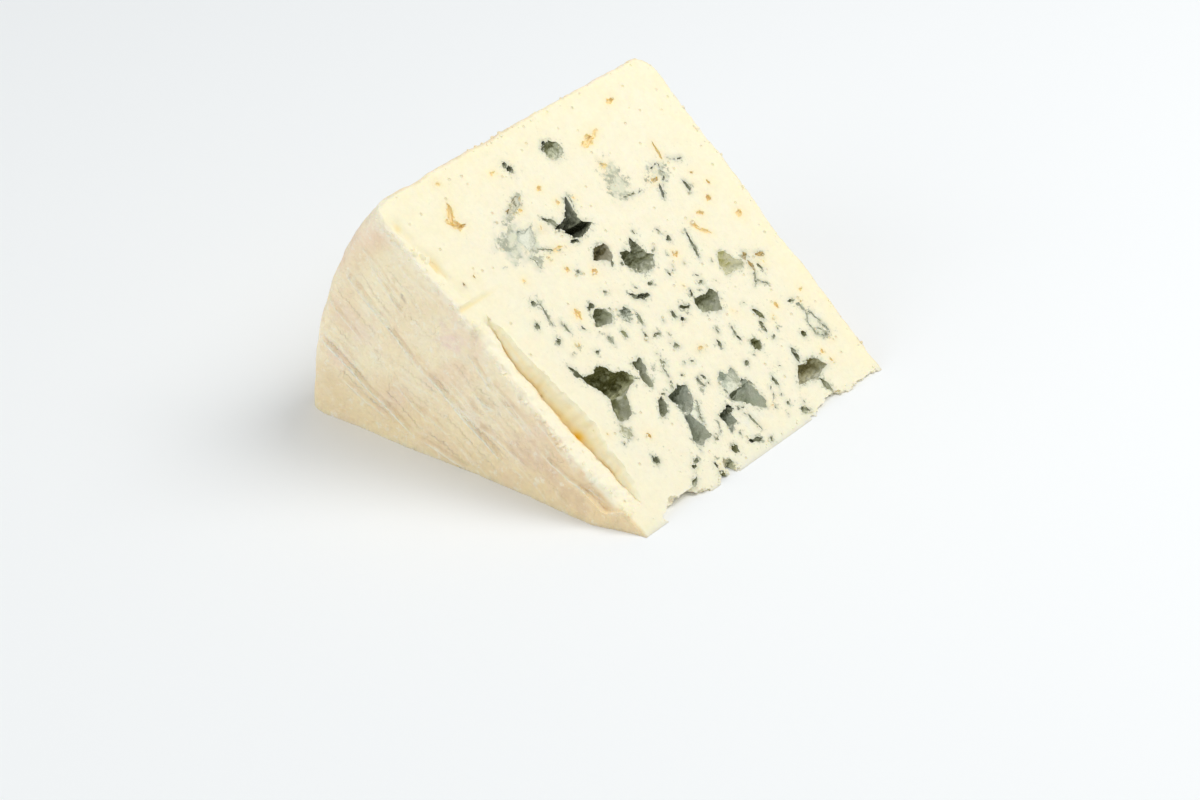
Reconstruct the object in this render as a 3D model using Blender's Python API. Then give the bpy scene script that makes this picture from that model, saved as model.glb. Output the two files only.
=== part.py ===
"""A wedge of blue cheese, cut from a round wheel and lying on one of its two cut faces.

Units are metres. The wheel's axis runs along X: the flat rind that shows is at -X, the tip edge, which lay on the
wheel's axis, is at -Y, and the round rim is at +Y. The lower cut face lies on Z = 0. While the solid is made, the
tip edge is on the line Y = Z = 0 and the axis runs from X = 0 to X = WHEEL_HEIGHT. At the end it is moved so that
the origin is under the middle of its box.
"""

import math
from collections import namedtuple

import bmesh
import bpy
import numpy as np
from mathutils import Matrix, Vector, noise

MM = 0.001

# The wheel and the slice
WHEEL_RADIUS = 97.5 * MM
WHEEL_HEIGHT = 99 * MM
SLICE_ANGLE = math.radians(39.5)
RIM_ROUNDING = 5 * MM
RIM_SEGMENTS = 128
ROUNDING_SEGMENTS = 4

# How fine the skin is while it is shaped, and the share of its triangles that stays
SKIN_STEP = 1.3 * MM
SKIN_SHARE = 0.23

# A face's relief fades out this far inside the solid
RELIEF_REACH = 10 * MM

# The lower knife cut leaves this much to spare, and it is trimmed away when the skin is shaped, to make a flat face
UNDERSIDE_SPARE = 0.9 * MM

# The flat rind that shows: it swells towards the rim, more at the top than at the floor, and creases cross it
RIM_SWELL = 6.0 * MM
SWELL_AT_FLOOR = 0.4
SWELL_FROM = 0.3
TIP_TUCK = 3.5 * MM
TUCK_REACH = 14 * MM
CREASE_HEIGHT = 0.5 * MM
CREASE_WIDTH = 1.4 * MM
RIND_LUMPS = 0.55 * MM
RIND_LUMP_SIZE = 11 * MM

# The upper cut face, where the rind has pulled away from the paste. A bank slopes down from the rind's edge into a
# split, and the paste stands over it as a low steep flap. The split runs along the rind, from near the tip edge.
EDGE_DROP = 0.7 * MM
SPLIT_PLACE = 7.0 * MM
SPLIT_DEPTH = 3.6 * MM
SPLIT_FROM = 7 * MM
SPLIT_TO = 60 * MM
SPLIT_FADE = 12 * MM
SPLIT_WANDER = 1.0 * MM
FLAP_PLACE = 10.0 * MM
FLAP_RISE = 0.5 * MM
FLAP_REACH = 3.5 * MM

# Beyond the split's end the paste still stands a little higher beside the rind
STEP_HEIGHT = 0.5 * MM
STEP_PLACE = 66 * MM
STEP_REACH = 16 * MM

CUT_WAVES = 0.35 * MM
CUT_WAVE_SIZE = 24 * MM

# A straight crease pressed into the flat rind, by its two ends: distance from the tip edge, and height
Crease = namedtuple("Crease", "from_tip up to_tip down")
CREASES = (
    Crease(82 * MM, 44 * MM, 38 * MM, 4 * MM),
    Crease(93 * MM, 23 * MM, 56 * MM, 1 * MM),
    Crease(57 * MM, 19 * MM, 30 * MM, 4 * MM),
    Crease(29 * MM, 15 * MM, 9 * MM, 5 * MM),
)

# A pocket between the curds, on the upper cut face, in millimetres. along is measured from the shown flat rind and
# out from the tip edge. long, wide and deep are its size, and turn is its slant in degrees. Where pockets have grown
# together, each lobe is a line of its own.
Pocket = namedtuple("Pocket", "along out long wide turn deep")
POCKETS = (
    Pocket(24.3, 34.3, 12.0, 7.5, -15, 7.0),
    Pocket(22.0, 27.5, 8.0, 6.0, 80, 5.0),
    Pocket(45.0, 69.2, 9.0, 5.2, -10, 9.0),
    Pocket(46.8, 73.0, 7.0, 2.4, 60, 4.0),
    Pocket(39.5, 72.4, 5.5, 1.8, -50, 3.0),
    Pocket(46.0, 61.0, 6.2, 4.4, 25, 5.0),
    Pocket(55.0, 54.6, 9.2, 7.2, 0, 5.5),
    Pocket(52.2, 58.2, 4.6, 2.6, 100, 4.0),
    Pocket(56.6, 58.2, 5.4, 2.8, 75, 4.0),
    Pocket(34.0, 47.8, 6.4, 4.6, -5, 5.0),
    Pocket(65.5, 37.0, 8.4, 4.8, -8, 5.0),
    Pocket(68.2, 38.6, 3.8, 2.4, 60, 3.0),
    Pocket(79.0, 43.4, 7.4, 5.2, -15, 4.5),
    Pocket(79.0, 10.0, 10.2, 4.6, 5, 5.5),
    Pocket(56.0, 14.6, 8.8, 5.2, -35, 5.0),
    Pocket(59.5, 11.2, 6.4, 3.0, -75, 4.0),
    Pocket(38.6, 22.0, 6.2, 5.2, -25, 4.5),
    Pocket(37.5, 18.0, 4.6, 2.6, 75, 3.5),
    Pocket(36.6, 14.0, 6.4, 4.4, 70, 5.0),
    Pocket(34.6, 33.4, 3.8, 3.4, 0, 3.0),
    Pocket(33.8, 30.2, 4.4, 2.6, 80, 4.0),
    Pocket(32.0, 22.8, 4.8, 3.2, 20, 3.0),
    Pocket(46.8, 11.6, 5.4, 4.0, 80, 4.0),
    Pocket(48.3, 47.2, 4.8, 2.0, -25, 3.0),
    Pocket(69.8, 22.2, 4.0, 2.8, -60, 2.8),
    Pocket(14.9, 83.4, 5.6, 2.6, -25, 2.6),
    Pocket(65.6, 85.2, 6.6, 2.8, 22, 2.6),
    Pocket(54.0, 87.2, 5.0, 3.6, 15, 2.6),
    Pocket(38.7, 88.8, 2.2, 4.0, 10, 2.4),
    Pocket(75.8, 27.3, 2.6, 4.6, -10, 2.4),
    Pocket(84.4, 18.2, 2.6, 2.6, 0, 2.2),
    Pocket(40.7, 45.2, 3.4, 2.6, 30, 2.4),
    Pocket(42.8, 4.9, 4.0, 2.8, 40, 2.6),
    Pocket(85.2, 40.6, 3.0, 3.6, 25, 2.6),
    Pocket(28.5, 69.0, 9.0, 5.0, 40, 1.6),
    Pocket(65.0, 73.4, 7.0, 4.0, 50, 1.6),
)

# The middle of a pocket lies below the cut face by this share of its depth
POCKET_SINK = 0.25

# A pocket's wall at its widest, and how far its bulges come in from there, as shares of half its size
POCKET_SPREAD = 1.28
POCKET_BULGES = 0.55

# Pockets shorter than this are made with fewer faces, in millimetres
SMALL_POCKET = 5.0

# Where the thin tip edge has crumbled away underneath, in millimetres: the middle of the gap, and its size
Break = namedtuple("Break", "along out up long back high")
BREAKS = (
    Break(20.5, 0.0, 0.6, 17.0, 11.0, 4.8),
    Break(38.0, 0.5, 1.6, 3.0, 7.0, 4.0),
    Break(81.0, -0.5, 0.2, 6.0, 10.0, 5.0),
    Break(91.0, -3.4, -0.6, 15.0, 10.0, 4.0),
)

PASTE_COLOUR = (0.93, 0.86, 0.66)


def clear_scene():
    for obj in list(bpy.data.objects):
        bpy.data.objects.remove(obj, do_unlink=True)


def smooth_step(values):
    """0 below 0, 1 above 1, and a smooth rise between."""
    t = np.clip(values, 0.0, 1.0)
    return t * t * (3 - 2 * t)


def bump(distance, width):
    """1 at distance 0, falling smoothly to nothing within about two widths."""
    return np.exp(-((distance / width) ** 2))


def noise_at(points, size, seed):
    """Smooth noise from about -1 to 1 at each point, with waves of about that size."""
    shift = Vector((seed * 7.3, seed * 3.1, seed * 5.7))
    return np.array([noise.noise(Vector(p) / size + shift) for p in points])


def object_from(name, bm):
    mesh = bpy.data.meshes.new(name)
    bm.to_mesh(mesh)
    bm.free()
    obj = bpy.data.objects.new(name, mesh)
    bpy.context.scene.collection.objects.link(obj)
    return obj


def baked(obj):
    """Puts what obj's modifiers make into its own mesh."""
    graph = bpy.context.evaluated_depsgraph_get()
    made = bpy.data.meshes.new_from_object(obj.evaluated_get(graph))
    obj.modifiers.clear()
    obj.data = made


def cut_by_knife(bm, normal, height=0.0):
    """Keeps what lies behind a plane across the solid, and closes the cut."""
    geometry = bm.verts[:] + bm.edges[:] + bm.faces[:]
    cut = bmesh.ops.bisect_plane(
        bm, geom=geometry, plane_co=(0, 0, height), plane_no=normal, clear_outer=True
    )
    rim = [item for item in cut["geom_cut"] if isinstance(item, bmesh.types.BMEdge)]
    bmesh.ops.contextual_create(bm, geom=rim)


def make_slice():
    """The whole wheel with its rim rounded, then two knife cuts that meet on its axis."""
    bm = bmesh.new()
    along_x = Matrix.Rotation(math.radians(90), 4, "Y")
    bmesh.ops.create_cone(
        bm,
        cap_ends=True,
        segments=RIM_SEGMENTS,
        radius1=WHEEL_RADIUS,
        radius2=WHEEL_RADIUS,
        depth=WHEEL_HEIGHT,
        matrix=Matrix.Translation((WHEEL_HEIGHT / 2, 0, 0)) @ along_x,
    )
    corners = [edge for edge in bm.edges if any(len(face.verts) > 4 for face in edge.link_faces)]
    bmesh.ops.bevel(
        bm, geom=corners, offset=RIM_ROUNDING, segments=ROUNDING_SEGMENTS, profile=0.5, affect="EDGES"
    )
    cut_by_knife(bm, (0, 0, -1), -UNDERSIDE_SPARE)
    cut_by_knife(bm, (0, -math.sin(SLICE_ANGLE), math.cos(SLICE_ANGLE)))
    bmesh.ops.recalc_face_normals(bm, faces=bm.faces[:])
    obj = object_from("cheese_wedge", bm)
    skin = obj.modifiers.new("Skin", "REMESH")
    skin.mode = "VOXEL"
    skin.voxel_size = SKIN_STEP
    baked(obj)
    return obj


def crease_relief(from_tip, up):
    """How far the creases lift the flat rind. Each has a ridge with a shallow furrow under it."""
    relief = np.zeros_like(up)
    for crease in CREASES:
        start = np.array([crease.from_tip, crease.up])
        run = np.array([crease.to_tip, crease.down]) - start
        length = np.linalg.norm(run)
        run /= length
        away = np.stack([from_tip - start[0], up - start[1]], axis=-1)
        along = away @ run
        across = away @ np.array([run[1], -run[0]])
        fade = smooth_step(along / (0.2 * length)) * smooth_step((length - along) / (0.2 * length))
        relief += fade * (bump(across, CREASE_WIDTH) - 0.8 * bump(across - 1.8 * CREASE_WIDTH, CREASE_WIDTH))
    return CREASE_HEIGHT * relief


def rind_relief(points, seed):
    """Soft lumps all over a rind."""
    broad = noise_at(points, RIND_LUMP_SIZE, seed)
    fine = noise_at(points, RIND_LUMP_SIZE / 3, seed + 1)
    return RIND_LUMPS * (broad + 0.4 * fine)


def shown_rind_relief(points):
    """The flat rind that shows, measured outwards, along -X."""
    from_tip, up = points[:, 1], points[:, 2]
    towards_rim = from_tip / WHEEL_RADIUS
    towards_top = up / (np.maximum(from_tip, 5 * MM) * math.tan(SLICE_ANGLE))
    swell = RIM_SWELL * smooth_step((towards_rim - SWELL_FROM) / (1 - SWELL_FROM))
    swell *= SWELL_AT_FLOOR + (1 - SWELL_AT_FLOOR) * smooth_step(towards_top)
    tuck = TIP_TUCK * (1 - smooth_step(from_tip / TUCK_REACH))
    return swell - tuck + crease_relief(from_tip, up) + rind_relief(points, 3)


def split_relief(points, along, out):
    """The bank, the split and the flap beside the shown rind, measured outwards from the cut face."""
    wander = SPLIT_WANDER * noise_at(points, 9 * MM, 11)
    split = SPLIT_PLACE + wander
    flap = FLAP_PLACE + 1.5 * wander
    bank_depth = EDGE_DROP + (SPLIT_DEPTH - EDGE_DROP) * np.clip(along / split, 0, 1)
    wall_depth = SPLIT_DEPTH * np.clip((flap - along) / (flap - split), 0, 1)
    depth = np.where(along < split, bank_depth, wall_depth)
    depth -= FLAP_RISE * bump(along - flap - FLAP_REACH / 2, FLAP_REACH)
    return -depth * smooth_step((out - SPLIT_FROM) / SPLIT_FADE) * smooth_step((SPLIT_TO - out) / SPLIT_FADE)


def cut_relief(points, along, out):
    """The upper cut face, measured outwards."""
    step = STEP_HEIGHT * smooth_step((out - STEP_PLACE) / (2 * MM)) * (1 - smooth_step(along / STEP_REACH))
    return split_relief(points, along, out) + step + CUT_WAVES * noise_at(points, CUT_WAVE_SIZE, 5)


def add_relief(obj):
    """Moves the skin of each face in or out by that face's own relief."""
    mesh = obj.data
    points = np.empty(len(mesh.vertices) * 3)
    mesh.vertices.foreach_get("co", points)
    points = points.reshape(-1, 3)
    cut_normal = np.array([0, -math.sin(SLICE_ANGLE), math.cos(SLICE_ANGLE)])
    cut_out = np.array([0, math.cos(SLICE_ANGLE), math.sin(SLICE_ANGLE)])
    along = points[:, 0]
    out = points @ cut_out
    radius = np.linalg.norm(points[:, 1:], axis=1)
    radial = points[:, 1:] / np.maximum(radius, MM)[:, None]

    near_shown = 1 - smooth_step(along / RELIEF_REACH)
    near_hidden = 1 - smooth_step((WHEEL_HEIGHT - along) / RELIEF_REACH)
    near_rim = 1 - smooth_step((WHEEL_RADIUS - radius) / RELIEF_REACH)
    near_cut = 1 - smooth_step(-(points @ cut_normal) / RELIEF_REACH)
    off_floor = smooth_step((points[:, 2] + UNDERSIDE_SPARE) / (2 * MM))

    moved = points.copy()
    moved[:, 0] -= near_shown * shown_rind_relief(points)
    moved[:, 0] += near_hidden * rind_relief(points, 21)
    moved[:, 1:] += (near_rim * rind_relief(points, 31))[:, None] * radial
    lift = near_cut * off_floor * cut_relief(points, along, out)
    moved += lift[:, None] * cut_normal
    lowest = (points[:, 2] + UNDERSIDE_SPARE) / 2 - UNDERSIDE_SPARE
    moved[:, 2] = np.maximum(moved[:, 2], lowest)
    mesh.vertices.foreach_set("co", moved.ravel())
    mesh.update()


def level_underside(obj):
    """Trims the lower cut face to one flat plane, the surface that the wedge rests on."""
    bm = bmesh.new()
    bm.from_mesh(obj.data)
    cut_by_knife(bm, (0, 0, -1))
    bm.to_mesh(obj.data)
    bm.free()


def make_cutter(name, size, place, seed):
    """A void as it forms between curds: sharp creases where curds meet, and walls that bulge inwards."""
    bm = bmesh.new()
    fineness = 2 if max(size) < SMALL_POCKET * MM else 3
    bmesh.ops.create_icosphere(bm, subdivisions=fineness, radius=1.0)
    shift = Vector((seed * 1.7, seed * 2.9, seed * 4.3))
    for vert in bm.verts:
        bulge = abs(noise.noise(vert.co * 1.5 + shift)) + 0.4 * abs(noise.noise(vert.co * 3.5 + shift))
        vert.co *= POCKET_SPREAD - POCKET_BULGES * bulge
    half_size = Matrix.Diagonal((size[0] / 2, size[1] / 2, size[2] / 2, 1))
    bmesh.ops.transform(bm, matrix=place @ half_size, verts=bm.verts)
    cutter = object_from(name, bm)
    cutter.hide_render = True
    cutter.display_type = "WIRE"
    return cutter


def pocket_cutters():
    """One cutter for each pocket, sunk into the upper cut face."""
    slope = Matrix.Rotation(SLICE_ANGLE, 4, "X")
    cutters = []
    for count, pocket in enumerate(POCKETS):
        place = Matrix.Translation((pocket.along * MM, pocket.out * MM, -POCKET_SINK * pocket.deep * MM))
        turn = Matrix.Rotation(math.radians(pocket.turn), 4, "Z")
        size = (pocket.long * MM, pocket.wide * MM, 1.5 * pocket.deep * MM)
        cutters.append(make_cutter(f"pocket_{count + 1:02d}", size, slope @ place @ turn, count + 1))
    return cutters


def break_cutters():
    """One cutter for each stretch of the tip edge that has crumbled away."""
    cutters = []
    for count, gap in enumerate(BREAKS):
        place = Matrix.Translation((gap.along * MM, gap.out * MM, gap.up * MM))
        size = (gap.long * MM, gap.back * MM, gap.high * MM)
        cutters.append(make_cutter(f"break_{count + 1}", size, place, 50 + count))
    return cutters


def carve(obj, cutters):
    """Takes all the cutters out of the wedge at once, and thins the triangles where the skin is plain."""
    group = bpy.data.collections.new("Voids")
    bpy.context.scene.collection.children.link(group)
    for cutter in cutters:
        bpy.context.scene.collection.objects.unlink(cutter)
        group.objects.link(cutter)
    cut = obj.modifiers.new("Voids", "BOOLEAN")
    cut.operation = "DIFFERENCE"
    cut.operand_type = "COLLECTION"
    cut.collection = group
    cut.solver = "EXACT"
    cut.use_self = True
    thin = obj.modifiers.new("Plain skin", "DECIMATE")
    thin.ratio = SKIN_SHARE
    baked(obj)
    for cutter in cutters:
        bpy.data.objects.remove(cutter, do_unlink=True)
    bpy.data.collections.remove(group)


def centre_on_floor(obj):
    """Moves the mesh so that the origin is under the middle of its box, on the surface that it rests on."""
    corners = np.array([vert.co for vert in obj.data.vertices])
    low, high = corners.min(axis=0), corners.max(axis=0)
    obj.data.transform(Matrix.Translation((-(low[0] + high[0]) / 2, -(low[1] + high[1]) / 2, -low[2])))


def paste_material():
    material = bpy.data.materials.new("blue_cheese_paste")
    material.use_nodes = True
    shader = material.node_tree.nodes["Principled BSDF"]
    shader.inputs["Base Color"].default_value = (*PASTE_COLOUR, 1)
    shader.inputs["Roughness"].default_value = 0.55
    shader.inputs["Metallic"].default_value = 0.0
    return material


def main():
    clear_scene()
    wedge = make_slice()
    add_relief(wedge)
    level_underside(wedge)
    carve(wedge, pocket_cutters() + break_cutters())
    centre_on_floor(wedge)
    wedge.data.materials.clear()
    wedge.data.materials.append(paste_material())


main()
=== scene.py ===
# %% [markdown]
# # A wedge of blue cheese
# A blue cheese is made from curds that are ladled into a round mould and hardly pressed, so gaps stay
# between them. Mould grows on the walls of the gaps, green, grey and blue, and a pale rind grows on the
# outside of the wheel. This lesson takes a slice out of such a wheel, carves its pockets, and then paints
# what the knife laid open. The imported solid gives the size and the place, and everything below is fitted to
# its box.

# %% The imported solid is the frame
import math
from collections import namedtuple

import bmesh
import bpy
import numpy as np
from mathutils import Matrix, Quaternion, Vector, kdtree, noise


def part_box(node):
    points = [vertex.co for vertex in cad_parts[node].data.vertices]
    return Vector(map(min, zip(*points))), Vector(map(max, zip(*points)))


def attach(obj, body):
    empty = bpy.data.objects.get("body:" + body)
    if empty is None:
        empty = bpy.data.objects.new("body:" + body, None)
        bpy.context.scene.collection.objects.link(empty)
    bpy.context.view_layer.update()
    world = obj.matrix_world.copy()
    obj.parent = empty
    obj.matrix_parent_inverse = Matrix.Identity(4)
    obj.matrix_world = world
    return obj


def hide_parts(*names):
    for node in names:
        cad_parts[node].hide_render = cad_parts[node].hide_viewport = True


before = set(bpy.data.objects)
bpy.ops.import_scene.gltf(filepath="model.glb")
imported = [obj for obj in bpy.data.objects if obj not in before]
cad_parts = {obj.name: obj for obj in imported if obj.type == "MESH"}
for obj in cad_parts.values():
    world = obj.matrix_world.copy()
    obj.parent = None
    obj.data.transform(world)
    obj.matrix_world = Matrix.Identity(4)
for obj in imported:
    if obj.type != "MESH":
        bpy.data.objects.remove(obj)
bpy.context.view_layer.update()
NODE = "cheese_wedge"
MM = 0.001
low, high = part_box(NODE)
print("the solid is", [round(1000 * side, 1) for side in high - low], "mm")

# %% [markdown]
# ## Where the slice lies
# A wheel is easiest to think about from its own axis. So the slice is modelled in a frame where the tip
# edge, which lay on the wheel's axis, is the line Y = Z = 0, and the axis runs from X = 0, the flat rind
# that shows, to the far rind. Only at the end is the finished mesh moved to its place in the solid's box.
# The far rind's lumps stand a little proud of the wheel's height, so that much comes off the box before the
# start of the axis is found.

# %% The wheel, the slice and the move to the solid's place
WHEEL_RADIUS = 97.5 * MM
WHEEL_HEIGHT = 99 * MM
SLICE_ANGLE = math.radians(39.5)
RIM_ROUNDING = 6 * MM
FAR_LUMPS = 0.42 * MM

tip_start = Vector((high.x - FAR_LUMPS - WHEEL_HEIGHT, low.y, 0))
cut_out = np.array([0, math.cos(SLICE_ANGLE), math.sin(SLICE_ANGLE)])
cut_normal = np.array([0, -math.sin(SLICE_ANGLE), math.cos(SLICE_ANGLE)])
print("the tip edge starts at", [round(1000 * value, 2) for value in tip_start], "mm")

# %% [markdown]
# ## The camera
# The camera stands where the picture was taken from: a long lens, from about half a metre up, looking down
# at the corner between the rind and the cut face. The horizon was not quite level, so the camera is rolled
# a little about its own line of sight.

# %% The camera
LOOK_AT = Vector((44.0, 44.3, 0)) * MM
CAMERA_DISTANCE = 932.4 * MM
CAMERA_AZIMUTH = math.radians(-53.37)
CAMERA_ELEVATION = math.radians(31.67)
CAMERA_ROLL = math.radians(1.58)
LENS_MM = 117
SENSOR_MM = 36
NEAREST = 10 * MM

towards_camera = Vector((
    math.sin(CAMERA_AZIMUTH) * math.cos(CAMERA_ELEVATION),
    -math.cos(CAMERA_AZIMUTH) * math.cos(CAMERA_ELEVATION),
    math.sin(CAMERA_ELEVATION),
))
bpy.ops.object.select_all(action="DESELECT")
bpy.ops.object.camera_add(location=tip_start + LOOK_AT + CAMERA_DISTANCE * towards_camera)
camera = bpy.context.object
camera.name = "camera"
camera.rotation_mode = "QUATERNION"
camera.rotation_quaternion = (-towards_camera).to_track_quat("-Z", "Y") @ Quaternion((0, 0, 1), CAMERA_ROLL)
camera.data.lens = LENS_MM
camera.data.sensor_width = SENSOR_MM
camera.data.clip_start = NEAREST
bpy.context.scene.camera = camera
print("the camera is", round(camera.location.z, 3), "m up")

# %% [markdown]
# ## The floor and the light
# A plain pale floor runs far enough back to fill the picture. Cheese is photographed in soft, bright light,
# so that it looks fresh: here a very large lamp above and to the right stands for a window, a second one
# fills from the left, and a nearly white surrounding lights the rest. The surrounding is what keeps the
# shadow under the tip edge soft.

# %% The floor and the light
FLOOR_SIDE = 6.0
FLOOR_COLOUR = (0.90, 0.912, 0.918, 1)
FLOOR_ROUGHNESS = 0.75
ROOM_COLOUR = (0.93, 0.97, 1.0, 1)
ROOM_BRIGHTNESS = 0.56
LAMP_DISTANCE = 0.9

# A lamp's direction from the slice is given by how far it lies to the camera's right, to the back and up.
Lamp = namedtuple("Lamp", "name right back up size watts colour")
LAMPS = (
    Lamp("window", 0.55, 0.1, 0.9, 0.6, 4.7, (1, 0.985, 0.96)),
    Lamp("fill", -0.8, -0.5, 0.35, 0.8, 2.5, (1, 0.98, 0.95)),
)


def add_floor():
    bpy.ops.object.select_all(action="DESELECT")
    bpy.ops.mesh.primitive_plane_add(size=FLOOR_SIDE, location=(0, 0, 0))
    floor = bpy.context.object
    floor.name = "floor"
    paint = bpy.data.materials.new("floor_paint")
    paint.use_nodes = True
    shader = paint.node_tree.nodes["Principled BSDF"]
    shader.inputs["Base Color"].default_value = FLOOR_COLOUR
    shader.inputs["Roughness"].default_value = FLOOR_ROUGHNESS
    floor.data.materials.append(paint)


def add_lamp(lamp):
    """A square lamp that faces the middle of the slice."""
    middle = (low + high) / 2
    towards = (lamp.right * to_right + lamp.back * to_back + lamp.up * Vector((0, 0, 1))).normalized()
    bpy.ops.object.light_add(type="AREA", location=middle + LAMP_DISTANCE * towards)
    light = bpy.context.object
    light.name = lamp.name
    light.rotation_mode = "QUATERNION"
    light.rotation_quaternion = (-towards).to_track_quat("-Z", "Y")
    light.data.size = lamp.size
    light.data.energy = lamp.watts
    light.data.color = lamp.colour


add_floor()
to_right = camera.rotation_quaternion @ Vector((1, 0, 0))
to_back = Vector((-towards_camera.x, -towards_camera.y, 0)).normalized()
for lamp in LAMPS:
    add_lamp(lamp)

room = bpy.data.worlds.new("bright_room")
room.use_nodes = True
room.node_tree.nodes["Background"].inputs["Color"].default_value = ROOM_COLOUR
room.node_tree.nodes["Background"].inputs["Strength"].default_value = ROOM_BRIGHTNESS
bpy.context.scene.world = room
bpy.context.scene.view_settings.view_transform = "Standard"
print("lamps:", [lamp.name for lamp in LAMPS])

# %% [markdown]
# ## The whole wheel, then two cuts
# The slice could be drawn as a wedge at once, but a real one is cut from a wheel, and its rounded rim comes
# out right if it is made the same way. A cylinder is the wheel, a bevel rounds its two rims, and two
# bisects are the knife. The lower cut leaves a little to spare, because the face that the slice lies on is
# trimmed flat at the end.

# %% The whole wheel, then two cuts
WHEEL_SIDES = 256
RIM_STEPS = 6
SPARE_BELOW = 0.9 * MM
SAME_PLACE = 0.1 * MM


def edit(obj, mode="FACE"):
    """Starts editing obj with nothing selected."""
    bpy.ops.object.select_all(action="DESELECT")
    obj.select_set(True)
    bpy.context.view_layer.objects.active = obj
    bpy.ops.object.mode_set(mode="EDIT")
    bpy.ops.mesh.select_mode(type=mode)
    bpy.ops.mesh.select_all(action="DESELECT")
    return bmesh.from_edit_mesh(obj.data)


def cut_through(place, towards_waste):
    """One stroke of the knife through the mesh being edited. What lies on the waste side is thrown away."""
    bpy.ops.mesh.select_all(action="SELECT")
    bpy.ops.mesh.bisect(plane_co=place, plane_no=towards_waste, use_fill=True, clear_outer=True)


bpy.ops.object.select_all(action="DESELECT")
bpy.ops.mesh.primitive_cylinder_add(
    vertices=WHEEL_SIDES,
    radius=WHEEL_RADIUS,
    depth=WHEEL_HEIGHT,
    location=(WHEEL_HEIGHT / 2, 0, 0),
    rotation=(0, math.radians(90), 0),
)
slice_ = bpy.context.object
slice_.name = "blue_cheese_slice"
bpy.ops.object.transform_apply(location=True, rotation=True, scale=True)

shape = edit(slice_, "EDGE")
for edge in shape.edges:
    ends = [vert.co.x for vert in edge.verts]
    edge.select_set(abs(ends[0] - ends[1]) < SAME_PLACE)
bmesh.update_edit_mesh(slice_.data)
bpy.ops.mesh.bevel(offset=RIM_ROUNDING, segments=RIM_STEPS, affect="EDGES")
cut_through((0, 0, -SPARE_BELOW), (0, 0, -1))
cut_through((0, 0, 0), cut_normal)
bpy.ops.object.mode_set(mode="OBJECT")
print("after the two cuts:", len(slice_.data.vertices), "points")

# %% [markdown]
# ## A skin that can be shaped
# The cut wheel has large flat faces with no points inside them, so nothing could be pressed into them. A
# voxel Remesh gives it an even skin of small squares all over, fine enough for dents and ragged edges of
# about a millimetre. Subdividing would do that too, but it makes long thin faces round the rim.

# %% A skin that can be shaped
SKIN_STEP = 0.68 * MM


def apply_all(obj):
    """Applies obj's modifiers from the top, as by hand."""
    bpy.ops.object.select_all(action="DESELECT")
    obj.select_set(True)
    bpy.context.view_layer.objects.active = obj
    for modifier in list(obj.modifiers):
        bpy.ops.object.modifier_apply(modifier=modifier.name)


skin = slice_.modifiers.new("Skin", "REMESH")
skin.mode = "VOXEL"
skin.voxel_size = SKIN_STEP
apply_all(slice_)
print("the skin has", len(slice_.data.polygons), "faces")

# %% [markdown]
# ## Noise and soft steps
# Nothing on a cheese is straight or even. A few small helpers carry most of the shaping: a smooth step, to
# fade one shape into the next, a soft bump, and noise at a chosen wave size. The noise is always asked for
# with its own seed, so the same script makes the same cheese every time.

# %% Noise and soft steps


def smooth_step(values):
    """0 below 0, 1 above 1, and a smooth rise between."""
    t = np.clip(values, 0.0, 1.0)
    return t * t * (3 - 2 * t)


def between(values, start, end, fade_in, fade_out):
    """1 between start and end. It rises just after the start and falls again just before the end."""
    return smooth_step((values - start) / fade_in) * smooth_step((end - values) / fade_out)


def bump(distance, width):
    """1 at distance 0, falling to nothing within about two widths."""
    return np.exp(-((distance / width) ** 2))


def noise_at(points, size, seed):
    """Smooth noise from about -1 to 1 at each point, with waves of about that size."""
    shift = Vector((seed * 7.3, seed * 3.1, seed * 5.7))
    return np.array([noise.noise(Vector(p) + shift) for p in points / size])


def points_of(mesh):
    """The places of a mesh's points, one to a row."""
    flat = np.empty(len(mesh.vertices) * 3)
    mesh.vertices.foreach_get("co", flat)
    return flat.reshape(-1, 3)


# %% [markdown]
# ## The rind
# The flat rind at the front swells towards the rim, because the young wheel sagged a little on its shelf.
# The creases were pressed into it by the cloth or mat that it drained on: each has a ridge and a shallow
# furrow under it. The long ones are drawn one by one, because they show so well, and fainter ones that lie
# the same way are scattered between them. Soft lumps lie all over the rind, and a few low bumps are listed.
# The functions only say how far the rind moves outwards; that is applied further down.

# %% The rind
RIM_SWELL = 6.0 * MM
SWELL_AT_FLOOR = 0.4
SWELL_FROM = 0.3
TIP_TUCK = 3.5 * MM
TUCK_REACH = 14 * MM
RIND_LUMPS = 0.55 * MM
RIND_LUMP_SIZE = 11 * MM
RIND_GRAIN = 0.11 * MM
RIND_GRAIN_SIZE = 1.7 * MM

# A crease runs from one place on the rind to another.
# Each place is given by how far it is from the tip edge, and how far up.
Crease = namedtuple("Crease", "from_tip up to_tip down high wide")
DRAWN_CREASES = (
    Crease(94, 23, 62, 2, 0.5, 0.65),
    Crease(62, 3, 49, 0.5, 0.4, 0.65),
    Crease(84, 44, 62, 23, 0.45, 0.6),
    Crease(63, 24, 37, 5, 0.55, 0.7),
    Crease(57, 19, 30, 7, 0.3, 0.6),
    Crease(30, 14, 9, 5, 0.35, 0.7),
    Crease(86, 12, 71, 5, 0.3, 0.6),
    Crease(49, 32, 42, 24, 0.35, 0.6),
    Crease(76, 48, 66, 36, 0.25, 0.6),
    Crease(90, 34, 78, 24, 0.25, 0.6),
    Crease(70, 16, 58, 8, 0.25, 0.6),
    Crease(47, 22, 41, 19, 0.4, 0.8),
)
CREASE_RELIEF = 0.9
CREASE_FADE = 0.2
FURROW_DEPTH = 0.8
FURROW_PLACE = 1.8
CREASE_WANDER = 0.9 * MM
CREASE_WANDER_SIZE = 12 * MM
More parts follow.
